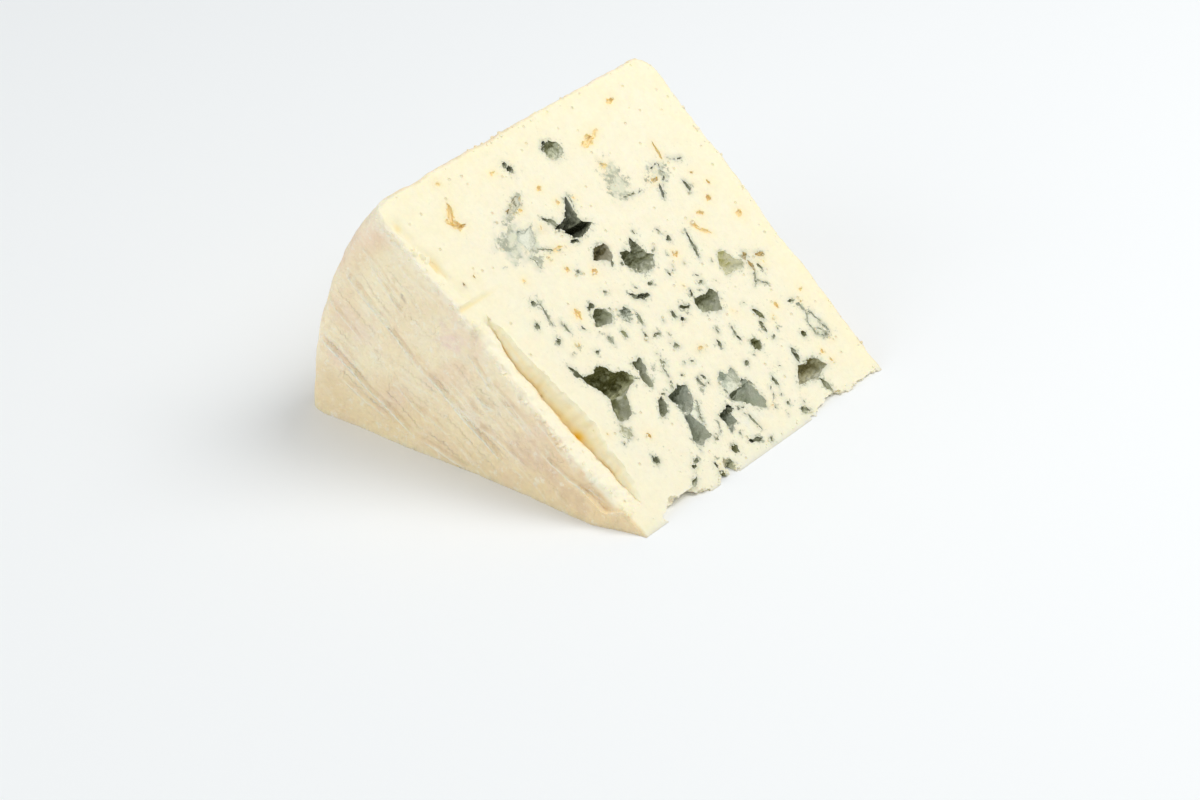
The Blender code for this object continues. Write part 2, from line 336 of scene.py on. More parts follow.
FULL_CREASE = 0.5
FAR_OFF = 99 * MM

FINE_CREASES = 16
FINE_CREASE_PLACES = (30, 94)
FINE_CREASE_LEAN = 35
FINE_CREASE_LENGTHS = (7, 20)
FINE_CREASE_HEIGHTS = (0.12, 0.26)
FINE_CREASE_WIDTH = 0.5

RindBump = namedtuple("RindBump", "from_tip up high wide")
RIND_BUMPS = (
    RindBump(33, 13, 0.9, 1.5),
    RindBump(31, 15.5, 0.6, 1.1),
    RindBump(35, 6.5, 0.8, 1.2),
    RindBump(22, 4, 0.8, 1.3),
    RindBump(17, 3, 0.7, 1.2),
    RindBump(46, 18, 0.6, 1.6),
    RindBump(44, 21, 0.5, 1.2),
    RindBump(27, 9, 0.5, 1.8),
    RindBump(58, 26, 0.5, 1.8),
    RindBump(40, 26, 0.6, 2.2),
    RindBump(52, 30, 0.5, 2.0),
    RindBump(29, 19, 0.5, 1.8),
    RindBump(70, 20, 0.4, 1.6),
    RindBump(64, 12, 0.4, 1.4),
    RindBump(61, 9, 0.4, 1.0),
)


def fine_creases(count):
    """Short faint creases that lie much like the drawn ones."""
    pick = np.random.default_rng(3)
    creases = []
    for _ in range(count):
        from_tip = pick.uniform(*FINE_CREASE_PLACES)
        up = pick.uniform(0.1, 0.9) * from_tip * math.tan(SLICE_ANGLE)
        lean = math.radians(pick.normal(FINE_CREASE_LEAN, 7))
        length = pick.uniform(*FINE_CREASE_LENGTHS)
        to_tip, down = from_tip - length * math.cos(lean), up - length * math.sin(lean)
        high = pick.uniform(*FINE_CREASE_HEIGHTS)
        creases.append(Crease(from_tip, up, to_tip, down, high, FINE_CREASE_WIDTH))
    return tuple(creases)


CREASES = DRAWN_CREASES + fine_creases(FINE_CREASES)


def beside(crease, from_tip, up):
    """How far each point lies across a crease, and how strong the crease is there, from 0 to 1."""
    start = np.array([crease.from_tip, crease.up]) * MM
    run = np.array([crease.to_tip, crease.down]) * MM - start
    length = np.linalg.norm(run)
    run /= length
    away = np.stack([from_tip - start[0], up - start[1]], axis=-1)
    fade = CREASE_FADE * length
    return away @ np.array([run[1], -run[0]]), between(away @ run, 0, length, fade, fade)


def crease_relief(from_tip, up):
    relief = np.zeros_like(up)
    for crease in CREASES:
        across, strength = beside(crease, from_tip, up)
        wide = crease.wide * MM
        furrow = FURROW_DEPTH * bump(across - FURROW_PLACE * wide, wide)
        relief += CREASE_RELIEF * crease.high * MM * strength * (bump(across, wide) - furrow)
    return relief


def crease_marks(from_tip, up):
    """How far each point lies across its nearest crease, and how strong that crease is there."""
    nearest_across = np.full(len(up), FAR_OFF)
    nearest_strength = np.zeros(len(up))
    for crease in CREASES:
        across, strength = beside(crease, from_tip, up)
        closer = (np.abs(across) < np.abs(nearest_across)) & (strength > 0)
        nearest_across[closer] = across[closer]
        nearest_strength[closer] = strength[closer] * crease.high / FULL_CREASE
    return nearest_across, nearest_strength


def rind_relief(points, seed):
    """Soft lumps, finer ones on top of them, and a fine grain."""
    relief = noise_at(points, RIND_LUMP_SIZE, seed) + 0.4 * noise_at(points, RIND_LUMP_SIZE / 3, seed + 1)
    return RIND_LUMPS * relief + RIND_GRAIN * noise_at(points, RIND_GRAIN_SIZE, seed + 2)


def crease_wander(points):
    """No crease is quite straight."""
    return CREASE_WANDER * noise_at(points, CREASE_WANDER_SIZE, 41)


def bumps_relief(points):
    relief = np.zeros(len(points))
    for low_bump in RIND_BUMPS:
        away = np.hypot(points[:, 1] - low_bump.from_tip * MM, points[:, 2] - low_bump.up * MM)
        relief += low_bump.high * MM * bump(away, low_bump.wide * MM)
    return relief


def shown_rind_relief(points):
    from_tip, up = points[:, 1], points[:, 2]
    towards_top = up / (np.maximum(from_tip, 5 * MM) * math.tan(SLICE_ANGLE))
    swell = RIM_SWELL * smooth_step((from_tip / WHEEL_RADIUS - SWELL_FROM) / (1 - SWELL_FROM))
    swell *= SWELL_AT_FLOOR + (1 - SWELL_AT_FLOOR) * smooth_step(towards_top)
    tuck = TIP_TUCK * (1 - smooth_step(from_tip / TUCK_REACH))
    wander = crease_wander(points)
    creases = crease_relief(from_tip + wander, up + wander)
    return swell - tuck + creases + bumps_relief(points) + rind_relief(points, 3)


print(len(CREASES), "creases")

# %% [markdown]
# ## The upper cut face
# Beside the front rind the paste has split. Two short lists follow the crack and the edge of the flap that
# stands over it, as a maker would mark them with a pencil before cutting. Here the flap is only raised a
# little; the split itself is cut further down. Further out there is just a shallow ditch along the rind,
# and a small step crosses the face where the knife was lifted. The rest of the face waves a little and is
# grainy, because the paste is crumbly.

# %% The upper cut face
SPLIT_AT = ((3, 8.6), (14, 9.2), (22, 9.2), (28, 8.2), (33, 7.2), (42, 6.6), (49, 5.4), (56, 5.2),
            (66, 5.0))
FLAP_AT = ((3, 9.8), (14, 10.9), (22, 10.8), (29, 11.3), (36, 9.8), (44, 8.2), (49, 7.4), (56, 6.5),
           (66, 6.2))
FLAP_RISE = 0.45 * MM
FLAP_REACH = 2.5 * MM
FLAP_FROM = 9 * MM
FLAP_TO = 60 * MM
DITCH_AT = ((67, 3.6), (80, 3.5), (82, 3.2), (84, 2.4), (96, 2.2))
DITCH_FROM = 67 * MM
DITCH_TO = 94 * MM
DITCH_DEPTH = 1.3 * MM
DITCH_WIDTH = 0.8 * MM
STEP_HEIGHT = 0.8 * MM
STEP_RUN = 0.7 * MM
STEP_PLACE = 66.5 * MM
STEP_REACH = 17 * MM
CUT_WAVES = 0.35 * MM
CUT_WAVE_SIZE = 24 * MM
CUT_GRAIN = 0.10 * MM
CUT_GRAIN_SIZE = 4.5 * MM
FINE_CUT_GRAIN = 0.07 * MM
FINE_CUT_GRAIN_SIZE = 1.8 * MM
BORDER_CRUMBLE = 0.25 * MM
BORDER_CRUMBLE_SIZE = 2.4 * MM
BORDER_REACH = 2.5 * MM


def marked(out, marks):
    """Follows pencil marks, each of them a distance out from the tip edge and a value, in millimetres."""
    places, values = zip(*marks)
    return np.interp(out / MM, places, values) * MM


def flap_relief(along, out):
    past = along - marked(out, FLAP_AT)
    rise = FLAP_RISE * smooth_step(past / (2 * MM) + 1) * np.exp(-np.maximum(past, 0) / FLAP_REACH)
    return rise * between(out, FLAP_FROM, FLAP_TO, 9 * MM, 8 * MM)


def ditch_relief(points, along, out):
    """The shallow ditch along the rind, further out than the split."""
    place = marked(out, DITCH_AT) + 0.5 * MM * noise_at(points, 3 * MM, 14)
    depth = DITCH_DEPTH * (0.7 + 0.5 * noise_at(points, 5 * MM, 15))
    return -depth * bump(along - place, DITCH_WIDTH) * between(out, DITCH_FROM, DITCH_TO, 3 * MM, 5 * MM)


def cut_relief(points, along, out):
    """The upper cut face, measured outwards."""
    step = STEP_HEIGHT * smooth_step((out - STEP_PLACE) / STEP_RUN) * (1 - smooth_step(along / STEP_REACH))
    waves = CUT_WAVES * noise_at(points, CUT_WAVE_SIZE, 5)
    grain = CUT_GRAIN * noise_at(points, CUT_GRAIN_SIZE, 6)
    grain += FINE_CUT_GRAIN * noise_at(points, FINE_CUT_GRAIN_SIZE, 7)
    to_border = np.minimum(np.minimum(along, WHEEL_HEIGHT - along), WHEEL_RADIUS - out)
    crumbly = BORDER_CRUMBLE * noise_at(points, BORDER_CRUMBLE_SIZE, 8)
    crumbly *= 1 - smooth_step(to_border / BORDER_REACH)
    return flap_relief(along, out) + ditch_relief(points, along, out) + step + waves + grain + crumbly


print("the flap's edge has", len(FLAP_AT), "marks")

# %% [markdown]
# ## Shaping the skin, and trimming the underside
# Every point of the skin is moved by the relief of the face that it is near. Where two faces meet, both
# moves fade in and out over the same ten millimetres, so the corner stays rounded and never folds over. The
# far rind and the round rim drained on the same cloth, so the same creases are used again there, each side
# measured in its own way. Then the knife trims the lower cut face to one flat plane, which is what the
# slice rests on.

# %% Shaping the skin, and trimming the underside
RELIEF_REACH = 10 * MM
FLOOR_FADE = 2 * MM

points = points_of(slice_.data)
along = points[:, 0]
out = points @ cut_out
radius = np.linalg.norm(points[:, 1:], axis=1)
radial = points[:, 1:] / np.maximum(radius, MM)[:, None]

near_shown = 1 - smooth_step(along / RELIEF_REACH)
near_hidden = 1 - smooth_step((WHEEL_HEIGHT - along) / RELIEF_REACH)
near_rim = 1 - smooth_step((WHEEL_RADIUS - radius) / RELIEF_REACH)
near_cut = 1 - smooth_step(-(points @ cut_normal) / RELIEF_REACH)
off_floor = smooth_step((points[:, 2] + SPARE_BELOW) / FLOOR_FADE)

wander = crease_wander(points)
below_top = points[:, 1] * math.tan(SLICE_ANGLE) - points[:, 2]
round_rim = WHEEL_RADIUS * np.arctan2(points[:, 2], points[:, 1])
hidden_relief = rind_relief(points, 21) + crease_relief(points[:, 1] + wander, below_top + wander)
rim_relief = rind_relief(points, 31) + crease_relief(along + wander, round_rim + wander)

shaped = points.copy()
shaped[:, 0] -= near_shown * shown_rind_relief(points)
shaped[:, 0] += near_hidden * hidden_relief
shaped[:, 1:] += (near_rim * rim_relief)[:, None] * radial
shaped += (near_cut * off_floor * cut_relief(points, along, out))[:, None] * cut_normal
shaped[:, 2] = np.maximum(shaped[:, 2], (points[:, 2] + SPARE_BELOW) / 2 - SPARE_BELOW)
slice_.data.vertices.foreach_set("co", shaped.ravel())
slice_.data.update()

edit(slice_)
cut_through((0, 0, 0), (0, 0, -1))
bpy.ops.object.mode_set(mode="OBJECT")
print("trimmed flat:", len(slice_.data.polygons), "faces")

# %% [markdown]
# ## The pockets, drawn on the cut face
# The pockets are what makes it a blue cheese, so the big ones are drawn one by one. Each outline is a few
# points on the cut face, first along the wheel's axis from the front rind, then out from the tip edge, in
# millimetres. Its corners are the sharp corners between curds. A pocket also has a depth and the colour of
# the mould that grows on its walls. Smaller pits and slits need no outline: a length, a width and a turn
# are enough for them.

# %% The pockets, drawn on the cut face
Pocket = namedtuple("Pocket", "mould deep outline")
POCKETS = (
    Pocket("black", 8.5, (
        (39.8, 71.4), (43.2, 72.0), (46, 74.6), (48.3, 77.2), (47.4, 72.2), (47.2, 69.6),
        (50, 67.9), (46.9, 66.7), (44, 66.1), (41.9, 66.9), (40.8, 69.0),
    )),
    Pocket("brown_grey", 4.5, (
        (42.8, 59.9), (44, 61.6), (45.1, 62.5), (46.7, 62.4), (48.9, 62.3), (49.1, 60.2),
        (48.5, 58.4), (47.2, 57.3), (45.8, 58.6), (44.2, 59.3),
    )),
    Pocket("green", 6.0, (
        (50.2, 56.2), (51.1, 58.7), (52.2, 59.9), (53.3, 57.8), (54, 57), (55.4, 59), (56.8, 60.4),
        (57.7, 57.6), (58.5, 54.7), (59.9, 53.8), (58.5, 52.3), (56.8, 50.9), (54, 50.8),
        (51.4, 52.6), (50.4, 54.6),
    )),
    Pocket("green", 5.0, (
        (31.8, 49.4), (33.6, 50.4), (36.1, 49.1), (37.2, 46.9), (35.4, 45.3), (32.9, 45.9),
        (30.8, 46.5), (31.3, 48.3),
    )),
    Pocket("olive", 8.0, (
        (17.0, 38.5), (20.8, 38.0), (22.9, 38.6), (25.1, 38.0), (26.5, 35.6), (29.3, 34.5),
        (30.9, 31.6), (28.3, 30.9), (25.4, 29.8), (24.4, 27.3), (22.9, 24.8), (20.8, 24.5),
        (18.5, 25.0), (19.0, 28.0), (20.2, 31.2), (19.0, 34.4), (17.9, 36.2),
    )),
    Pocket("green", 4.5, (
        (32.7, 35.3), (34.5, 34.8), (36.1, 35.3), (35.8, 32.2), (34.8, 31.5), (34.7, 29),
        (33.6, 27.3), (32.5, 29), (32.3, 31.1), (33.1, 32.3),
    )),
    Pocket("green", 3.5, (
        (29.6, 20.9), (32.4, 24.4), (34.3, 24.9), (33.8, 22.4), (32.6, 20.9), (30.8, 20.4),
    )),
    Pocket("blue", 5.5, (
        (35.5, 24), (38, 24.1), (40.5, 24.9), (42.7, 23.7), (42.1, 20.8), (40.6, 18.9),
        (38.5, 17.7), (36.4, 18.2), (36.2, 21),
    )),
    Pocket("blue", 5.5, (
        (36.1, 18.5), (35.1, 14.6), (33.2, 11.8), (34.7, 9.7), (36.6, 10.6), (39.2, 10.2),
        (39.3, 13.2), (38.1, 16.2), (37.9, 18.6),
    )),
    Pocket("blue", 4.0, (
        (44.8, 14.2), (46.8, 13.7), (48.6, 14.2), (48.9, 10.1), (47.2, 9.6), (45.0, 8.2),
        (45.4, 11.2),
    )),
    Pocket("blue", 5.5, (
        (51.5, 15.9), (54.7, 16.3), (56.8, 16.2), (58.2, 17.8), (59.6, 16.2), (60.8, 10.1),
        (59.3, 8.0), (57.9, 9.4), (56.1, 10.9), (54, 13), (51.8, 14.3),
    )),
    Pocket("veil", 1.8, (
        (52.2, 16.3), (52.4, 20.9), (54, 22), (55.4, 20.3), (57.7, 21.6), (58, 17.5), (56.8, 16.2),
    )),
    Pocket("olive_grey", 5.0, (
        (72.7, 8.3), (74.7, 10.9), (76.6, 12.8), (78.2, 11.9), (80.4, 12.7), (82.9, 11.6),
        (85, 8.6), (82.2, 8.4), (79, 7.3), (76.1, 8.3),
    )),
    Pocket("green", 5.0, (
        (61.5, 40.2), (62.9, 39.4), (64.6, 39.5), (66.1, 38.9), (67.9, 40), (69.6, 38),
        (68.3, 35.9), (67.3, 33.7), (65.1, 34.2), (63.6, 35.1), (61.4, 35.6), (61.1, 37.6),
    )),
    Pocket("pale", 3.8, (
        (75.3, 40), (75.8, 43.7), (77.8, 46), (79.7, 45.5), (80.9, 43), (83, 40.4), (81.1, 39.4),
        (78.6, 40.1), (76.8, 39.7),
    )),
    Pocket("veil", 0.8, (
        (26.8, 73.6), (28.4, 75.6), (30.6, 74.4), (33.4, 74.9), (32, 71.8), (30.4, 70.2),
        (28.2, 70), (27.4, 71.6),
    )),
    Pocket("green", 2.2, (
        (51.4, 86.2), (51.2, 88), (52.4, 89.8), (54.6, 90), (56.4, 88.6), (56.6, 86.4), (55, 85.2),
        (52.8, 85),
    )),
    Pocket("brown_grey", 1.4, (
        (28.4, 79.9), (30.6, 80.6), (34, 82.6), (36, 82.4), (34.4, 80.2), (31.6, 79.3),
    )),
)

Pit = namedtuple("Pit", "mould along out long wide turn deep")
PITS = (
    Pit("black", 38.9, 72.9, 4.6, 1.3, -52, 2.4), Pit("black", 39.9, 70.9, 2.6, 1.0, 20, 2.0),
    Pit("black", 41.6, 66.4, 2.6, 0.9, -20, 1.6), Pit("green", 46.9, 57.2, 1.8, 0.8, 70, 1.4),
    Pit("green", 16.6, 40.0, 4.2, 1.1, -70, 2.0), Pit("pale", 18.1, 22.4, 2.6, 3.0, 10, 1.0),
    Pit("green", 32.9, 51.4, 2.2, 1.5, 20, 2.2), Pit("black", 46.3, 47.9, 2.6, 1.0, -45, 1.8),
    Pit("black", 48.8, 46.4, 3.6, 1.5, -20, 2.2), Pit("blue", 40.8, 45.2, 3.2, 3.4, 20, 1.1),
    Pit("green", 43.5, 42.6, 0.9, 3.0, -6, 1.8), Pit("olive", 36.6, 41.6, 1.0, 2.2, 10, 1.6),
    Pit("green", 31.8, 42.2, 0.9, 2.2, 5, 1.4), Pit("green", 40.7, 30.8, 0.9, 2.6, -25, 1.4),
    Pit("black", 46.9, 22.2, 0.9, 2.6, 6, 1.6), Pit("black", 49.3, 13.4, 1.7, 1.9, 0, 2.6),
    Pit("olive", 80.2, 4.6, 1.6, 3.4, 8, 2.2), Pit("green", 77.9, 14.6, 1.3, 3.2, -8, 1.4),
    Pit("green", 62.0, 41.0, 0.8, 1.8, -25, 1.4), Pit("brown", 84.4, 41.7, 2.3, 1.5, 20, 1.8),
    Pit("brown", 84.4, 38.7, 1.2, 2.8, -5, 1.6), Pit("olive", 86.4, 37.4, 0.9, 2.2, 5, 1.3),
    Pit("brown", 89.2, 39.9, 2.8, 1.0, -15, 1.3), Pit("green", 83.0, 35.8, 3.2, 0.7, 45, 1.0),
    Pit("black", 38.3, 90.2, 1.6, 1.3, 20, 1.6), Pit("black", 38.9, 88.6, 2.0, 1.8, 0, 2.0),
    Pit("olive", 69.4, 22.3, 3.4, 2.6, -60, 2.2), Pit("olive", 76.2, 28.1, 1.5, 3.2, 25, 1.8),
    Pit("olive", 74.9, 25.4, 1.1, 2.2, -15, 1.5), Pit("olive", 84.5, 18.0, 1.7, 1.5, 0, 1.8),
    Pit("olive", 42.9, 4.9, 2.0, 2.2, 0, 2.6), Pit("black", 50.0, 3.8, 4.0, 1.2, -20, 1.8),
    Pit("green", 38.6, 2.6, 2.4, 3.4, 0, 2.6), Pit("olive", 34.6, 1.2, 2.6, 2.0, 20, 2.0),
    Pit("green", 53.4, 7.4, 0.7, 3.8, 8, 1.3), Pit("green", 67.0, 55.0, 1.6, 1.3, 20, 1.3),
    Pit("green", 67.0, 42.2, 1.7, 0.8, 10, 1.2), Pit("green", 47.7, 32.7, 1.9, 1.0, -15, 1.5),
    Pit("black", 54.6, 37.1, 1.3, 1.2, 0, 1.5), Pit("green", 53.1, 39.2, 1.1, 1.9, 0, 1.3),
    Pit("green", 57.6, 39.2, 3.2, 0.9, -25, 1.3), Pit("green", 62.9, 19.9, 1.7, 1.1, 15, 1.3),
    Pit("green", 30.2, 7.8, 2.2, 0.9, 25, 1.3), Pit("green", 28.7, 7.0, 1.5, 0.8, 0, 1.2),
    Pit("green", 20.3, 13.2, 1.8, 1.7, 0, 1.2), Pit("green", 26.2, 41.6, 1.3, 0.9, 0, 1.3),
    Pit("green", 41.8, 38.6, 0.8, 1.9, -10, 1.2), Pit("green", 44.8, 37.1, 2.6, 0.8, -12, 1.2),
    Pit("black", 19.1, 58.9, 1.3, 1.5, 0, 1.8), Pit("green", 20.4, 55.6, 0.7, 4.6, -8, 1.1),
    Pit("green", 22.8, 50.5, 0.8, 2.6, 5, 1.4), Pit("green", 15.8, 54.0, 1.6, 1.5, 0, 1.1),
    Pit("green", 18.2, 48.5, 1.4, 1.5, 0, 1.1), Pit("green", 72.3, 50.4, 1.0, 6.4, -14, 1.5),
    Pit("black", 74.7, 65.4, 0.9, 3.2, -25, 1.5), Pit("green", 82.8, 63.3, 1.0, 3.2, 0, 0.9),
    Pit("green", 59.4, 27.2, 0.9, 2.6, -12, 1.2), Pit("green", 65.9, 27.5, 0.9, 3.2, -15, 1.3),
    Pit("green", 67.0, 12.6, 1.3, 2.4, 0, 1.2), Pit("green", 87.9, 26.4, 2.4, 0.7, -10, 1.0),
    Pit("green", 34.8, 4.4, 1.0, 1.4, 0, 1.2), Pit("green", 26.0, 4.0, 2.6, 0.9, 20, 1.0),
    Pit("green", 54.3, 1.9, 0.9, 0.9, 0, 0.9), Pit("green", 69.2, 3.0, 1.9, 2.4, 0, 1.0),
    Pit("green", 66.0, 6.6, 1.0, 0.8, 0, 0.9), Pit("green", 75.8, 21.5, 1.2, 0.8, 10, 1.0),
    Pit("green", 60.0, 47.7, 1.0, 1.4, 0, 0.9), Pit("green", 53.0, 48.2, 1.4, 0.9, 20, 1.0),
    Pit("green", 65.9, 26.0, 0.8, 1.6, 10, 1.0), Pit("green", 74.8, 24.0, 0.8, 1.4, 0, 1.0),
    Pit("bare", 14.4, 83.9, 5.2, 2.3, -30, 2.6), Pit("bare", 14.9, 86.7, 1.8, 4.4, -28, 1.5),
    Pit("bare", 65.2, 84.9, 5.0, 2.4, 14, 2.3), Pit("bare", 68.6, 85.8, 3.6, 1.1, 18, 1.3),
    Pit("bare", 79.4, 90.8, 2.8, 1.6, 10, 1.0), Pit("bare", 42.6, 81.2, 1.7, 1.3, 30, 1.0),
    Pit("bare", 40.8, 57.8, 1.5, 1.6, 0, 1.0), Pit("bare", 65.8, 51.1, 2.0, 1.4, 15, 1.2),
    Pit("bare", 91.9, 51.2, 2.2, 1.5, 10, 1.4), Pit("bare", 89.5, 61.5, 1.1, 1.2, 0, 1.2),
    Pit("bare", 77.0, 54.4, 1.2, 3.4, 20, 1.5), Pit("bare", 78.6, 52.0, 1.2, 3.2, 50, 1.3),
    Pit("bare", 80.8, 56.2, 2.2, 1.1, -20, 1.0), Pit("bare", 81.9, 74.6, 0.9, 4.2, -8, 1.2),
    Pit("bare", 75.2, 68.8, 2.6, 1.4, 0, 0.9), Pit("bare", 28.3, 51.5, 1.9, 2.2, 0, 0.9),
    Pit("bare", 53.6, 29.0, 1.8, 1.0, 0, 0.9), Pit("bare", 23.2, 18.8, 1.3, 1.2, 0, 1.0),
    Pit("bare", 20.9, 64.5, 1.0, 0.9, 0, 1.0), Pit("bare", 64.4, 78.2, 2.2, 1.2, -20, 1.0),
    Pit("bare", 33.2, 79.2, 1.8, 1.0, 0, 1.0), Pit("brown", 31.4, 80.2, 1.6, 0.9, 0, 1.0),
    Pit("bare", 86.2, 58.4, 1.8, 1.6, 0, 0.7), Pit("bare", 86.8, 65.6, 0.9, 0.9, 0, 0.9),
    Pit("bare", 82.9, 27.5, 1.3, 1.3, 0, 0.9), Pit("bare", 79.8, 25.4, 0.9, 0.9, 0, 0.9),
    Pit("bare", 22.6, 45.3, 0.9, 0.9, 0, 0.9), Pit("bare", 4.8, 70.8, 1.2, 1.6, 0, 0.8),
    Pit("bare", 8.8, 71.4, 0.8, 1.0, 0, 0.8), Pit("bare", 35.6, 66.8, 3.4, 0.9, -5, 0.9),
    Pit("bare", 33.4, 89.9, 1.8, 0.8, 5, 0.6), Pit("bare", 17.4, 94.2, 1.2, 0.9, 0, 0.6),
)
print(len(POCKETS), "pockets and", len(PITS), "pits drawn by hand")

# %% [markdown]
# ## Loose lines of small holes
# Thin lines of mould run between the curds too. Each is drawn as a short path, and a row of slits is laid
# along it, a little off the line and of uneven size, so that it breaks up as a real one does. Below them
# come crumbled bits of the tip edge: the edge is only a thin sliver of paste, so it breaks where a pocket
# lies under it.

# %% Loose lines of small holes
VEINS = (
    ("black", 0.9, ((51.4, 86.8), (51.2, 88.6), (53.0, 90.3))),
    ("black", 1.1, ((54.0, 87.6), (55.8, 86.6), (56.6, 85.6))),
    ("veil", 0.7, (
        (89.6, 22.4), (88.2, 19.4), (88.0, 16.4), (89.8, 14.8), (92.2, 15.0), (91.6, 18.0),
        (90.8, 21.4), (89.8, 22.6), (88.8, 25.6),
    )),
    ("veil", 0.7, ((89.6, 17.6), (90.6, 16.6))),
    ("veil", 0.7, (
        (51.8, 16.6), (52.2, 20.4), (53.8, 21.6), (54.6, 18.6), (55.8, 16.8), (56.4, 20.6),
        (57.6, 21.4),
    )),
    ("fleck", 0.5, ((42.4, 19.6), (40.8, 17.2), (39.8, 15.0))),
    ("fleck", 0.45, ((48.0, 73.0), (49.2, 76.6))),
    ("fleck", 0.5, ((38.4, 24.6), (39.8, 28.2), (41.0, 31.2))),
    ("fleck", 0.5, ((63.4, 69.0), (66.0, 68.6), (69.0, 68.4))),
    ("fleck", 0.45, ((76.2, 66.0), (79.0, 69.2), (79.2, 72.0), (76.0, 71.4))),
    ("fleck", 0.4, ((83.0, 72.0), (85.0, 70.2), (87.2, 70.0))),
    ("fleck", 0.4, ((27.2, 68.8), (27.6, 64.6))),
    ("brown", 0.5, ((29.4, 80.2), (33.6, 80.4), (36.0, 82.0))),
    ("fleck", 0.4, ((64.6, 12.2), (63.2, 9.4))),
    ("fleck", 0.4, ((43.4, 12.2), (42.2, 9.6))),
    ("fleck", 0.5, ((36.4, 66.4), (33.2, 67.6), (30.6, 69.6))),
    ("fleck", 0.45, ((59.6, 54.2), (61.8, 54.8))),
    ("fleck", 0.45, ((85.4, 33.0), (83.0, 35.0), (81.4, 34.2))),
)
VEIN_SLIT = 1.5

Break = namedtuple("Break", "along out up long back high")
BREAKS = (
    Break(19.5, 0.4, 0.4, 14.5, 8.4, 4.4),
    Break(16.5, 1.2, 1.8, 5.0, 5.4, 3.2),
    Break(14.0, 0.2, 0.6, 3.0, 4.2, 2.6),
    Break(26.0, -0.2, 0.2, 5.0, 4.0, 2.2),
    Break(38.0, 0.5, 1.6, 3.0, 7.0, 4.0),
    Break(34.2, -0.3, 0.2, 3.4, 4.0, 2.6),
    Break(79.5, -0.4, 0.2, 8.0, 6.8, 4.0),
    Break(74.5, -0.6, 0.0, 6.0, 5.0, 2.6),
    Break(91.0, -3.4, -0.6, 15.0, 10, 4.0),
)
TIP_CRUMBS = 62
TIP_CRUMB_ZONES = ((12, 27), (33, 40), (69, 98), (72, 97))
FLECKS = 90
print(len(VEINS), "veins,", len(BREAKS), "breaks and", TIP_CRUMBS + FLECKS, "more small holes to scatter")

# %% [markdown]
# ## Turning a drawn pocket into a void
# A void between curds has sharp corners, where three curds met, and walls that bulge inwards, where a round
# curd pushed in. So each cutter starts as a ball. Its waist is pulled out to the drawn outline, corners and
# all, and ridged noise, the size of noise taken without its sign, dents its walls. A ball at each fineness
# is made once, and every cutter is a copy of one of them with a mesh of its own. Small holes are copies of
# coarse balls, so that the slice doesn't get more faces than it can show. A pit without mould is kept
# shallow, because the paste in it has only sunk a little.

# %% Turning a drawn pocket into a void
LONG_OUTLINE = 30
LARGE_PIT = 5
SMALL_PIT = 0.8
POCKET_SINK = 0.12
WALL_BULGES = 0.34
BROAD_DENT = 0.62
SMALL_DENT = 0.27
FINE_DENT = 0.12
RIM_RAGGED = 0.10
RIM_TEETH = 0.16
FINE_RIM_TEETH = 0.07
PIT_BULGES = 0.62
PIT_DEPTH = 0.85
BARE_PIT_DEPTH = 0.45
SLIT_UNEVEN = 0.8
SLIT_BEND = 0.16
MOULDS = ("black", "green", "blue", "olive", "olive_grey", "brown_grey", "pale", "brown", "veil", "fleck")
SLOTS = ("paste", "bare") + MOULDS

balls = {}
for fineness in (1, 2, 3, 4, 5):
    bpy.ops.object.select_all(action="DESELECT")
    bpy.ops.mesh.primitive_ico_sphere_add(subdivisions=fineness, radius=1, location=(0, 0, 0))
    balls[fineness] = bpy.context.object


def reach_of(outline, middle, turn):
    """How far the outline is from its middle in the direction of each turn."""
    corners = np.array(outline) - middle
    angles = np.arctan2(corners[:, 1], corners[:, 0])
    order = np.argsort(angles)
    corners = np.vstack([corners[order], corners[order][:1]])
    ends = np.append(angles[order], angles[order][0] + 2 * math.pi)
    turn = np.where(turn < ends[0], turn + 2 * math.pi, turn)
    side = np.clip(np.searchsorted(ends, turn, side="right") - 1, 0, len(outline) - 1)
    start, run = corners[side], corners[side + 1] - corners[side]
    ray = np.stack([np.cos(turn), np.sin(turn)], axis=-1)
    cross = ray[:, 0] * run[:, 1] - ray[:, 1] * run[:, 0]
    return (start[:, 0] * run[:, 1] - start[:, 1] * run[:, 0]) / cross


def ridged(directions, seed):
    """0 along creases and up to about 1 between them."""
    broad = np.abs(noise_at(directions, BROAD_DENT, seed))
    small = np.abs(noise_at(directions, SMALL_DENT, seed + 1))
    return broad + 0.45 * small + 0.2 * noise_at(directions, FINE_DENT, seed + 2)


def ball_points(fineness):
    return points_of(balls[fineness].data)


def on_cut_face(local):
    """From along, out and above the cut face to the slice's own frame, in metres."""
    return (local[:, :1] * np.array([1, 0, 0]) + local[:, 1:2] * cut_out + local[:, 2:] * cut_normal) * MM


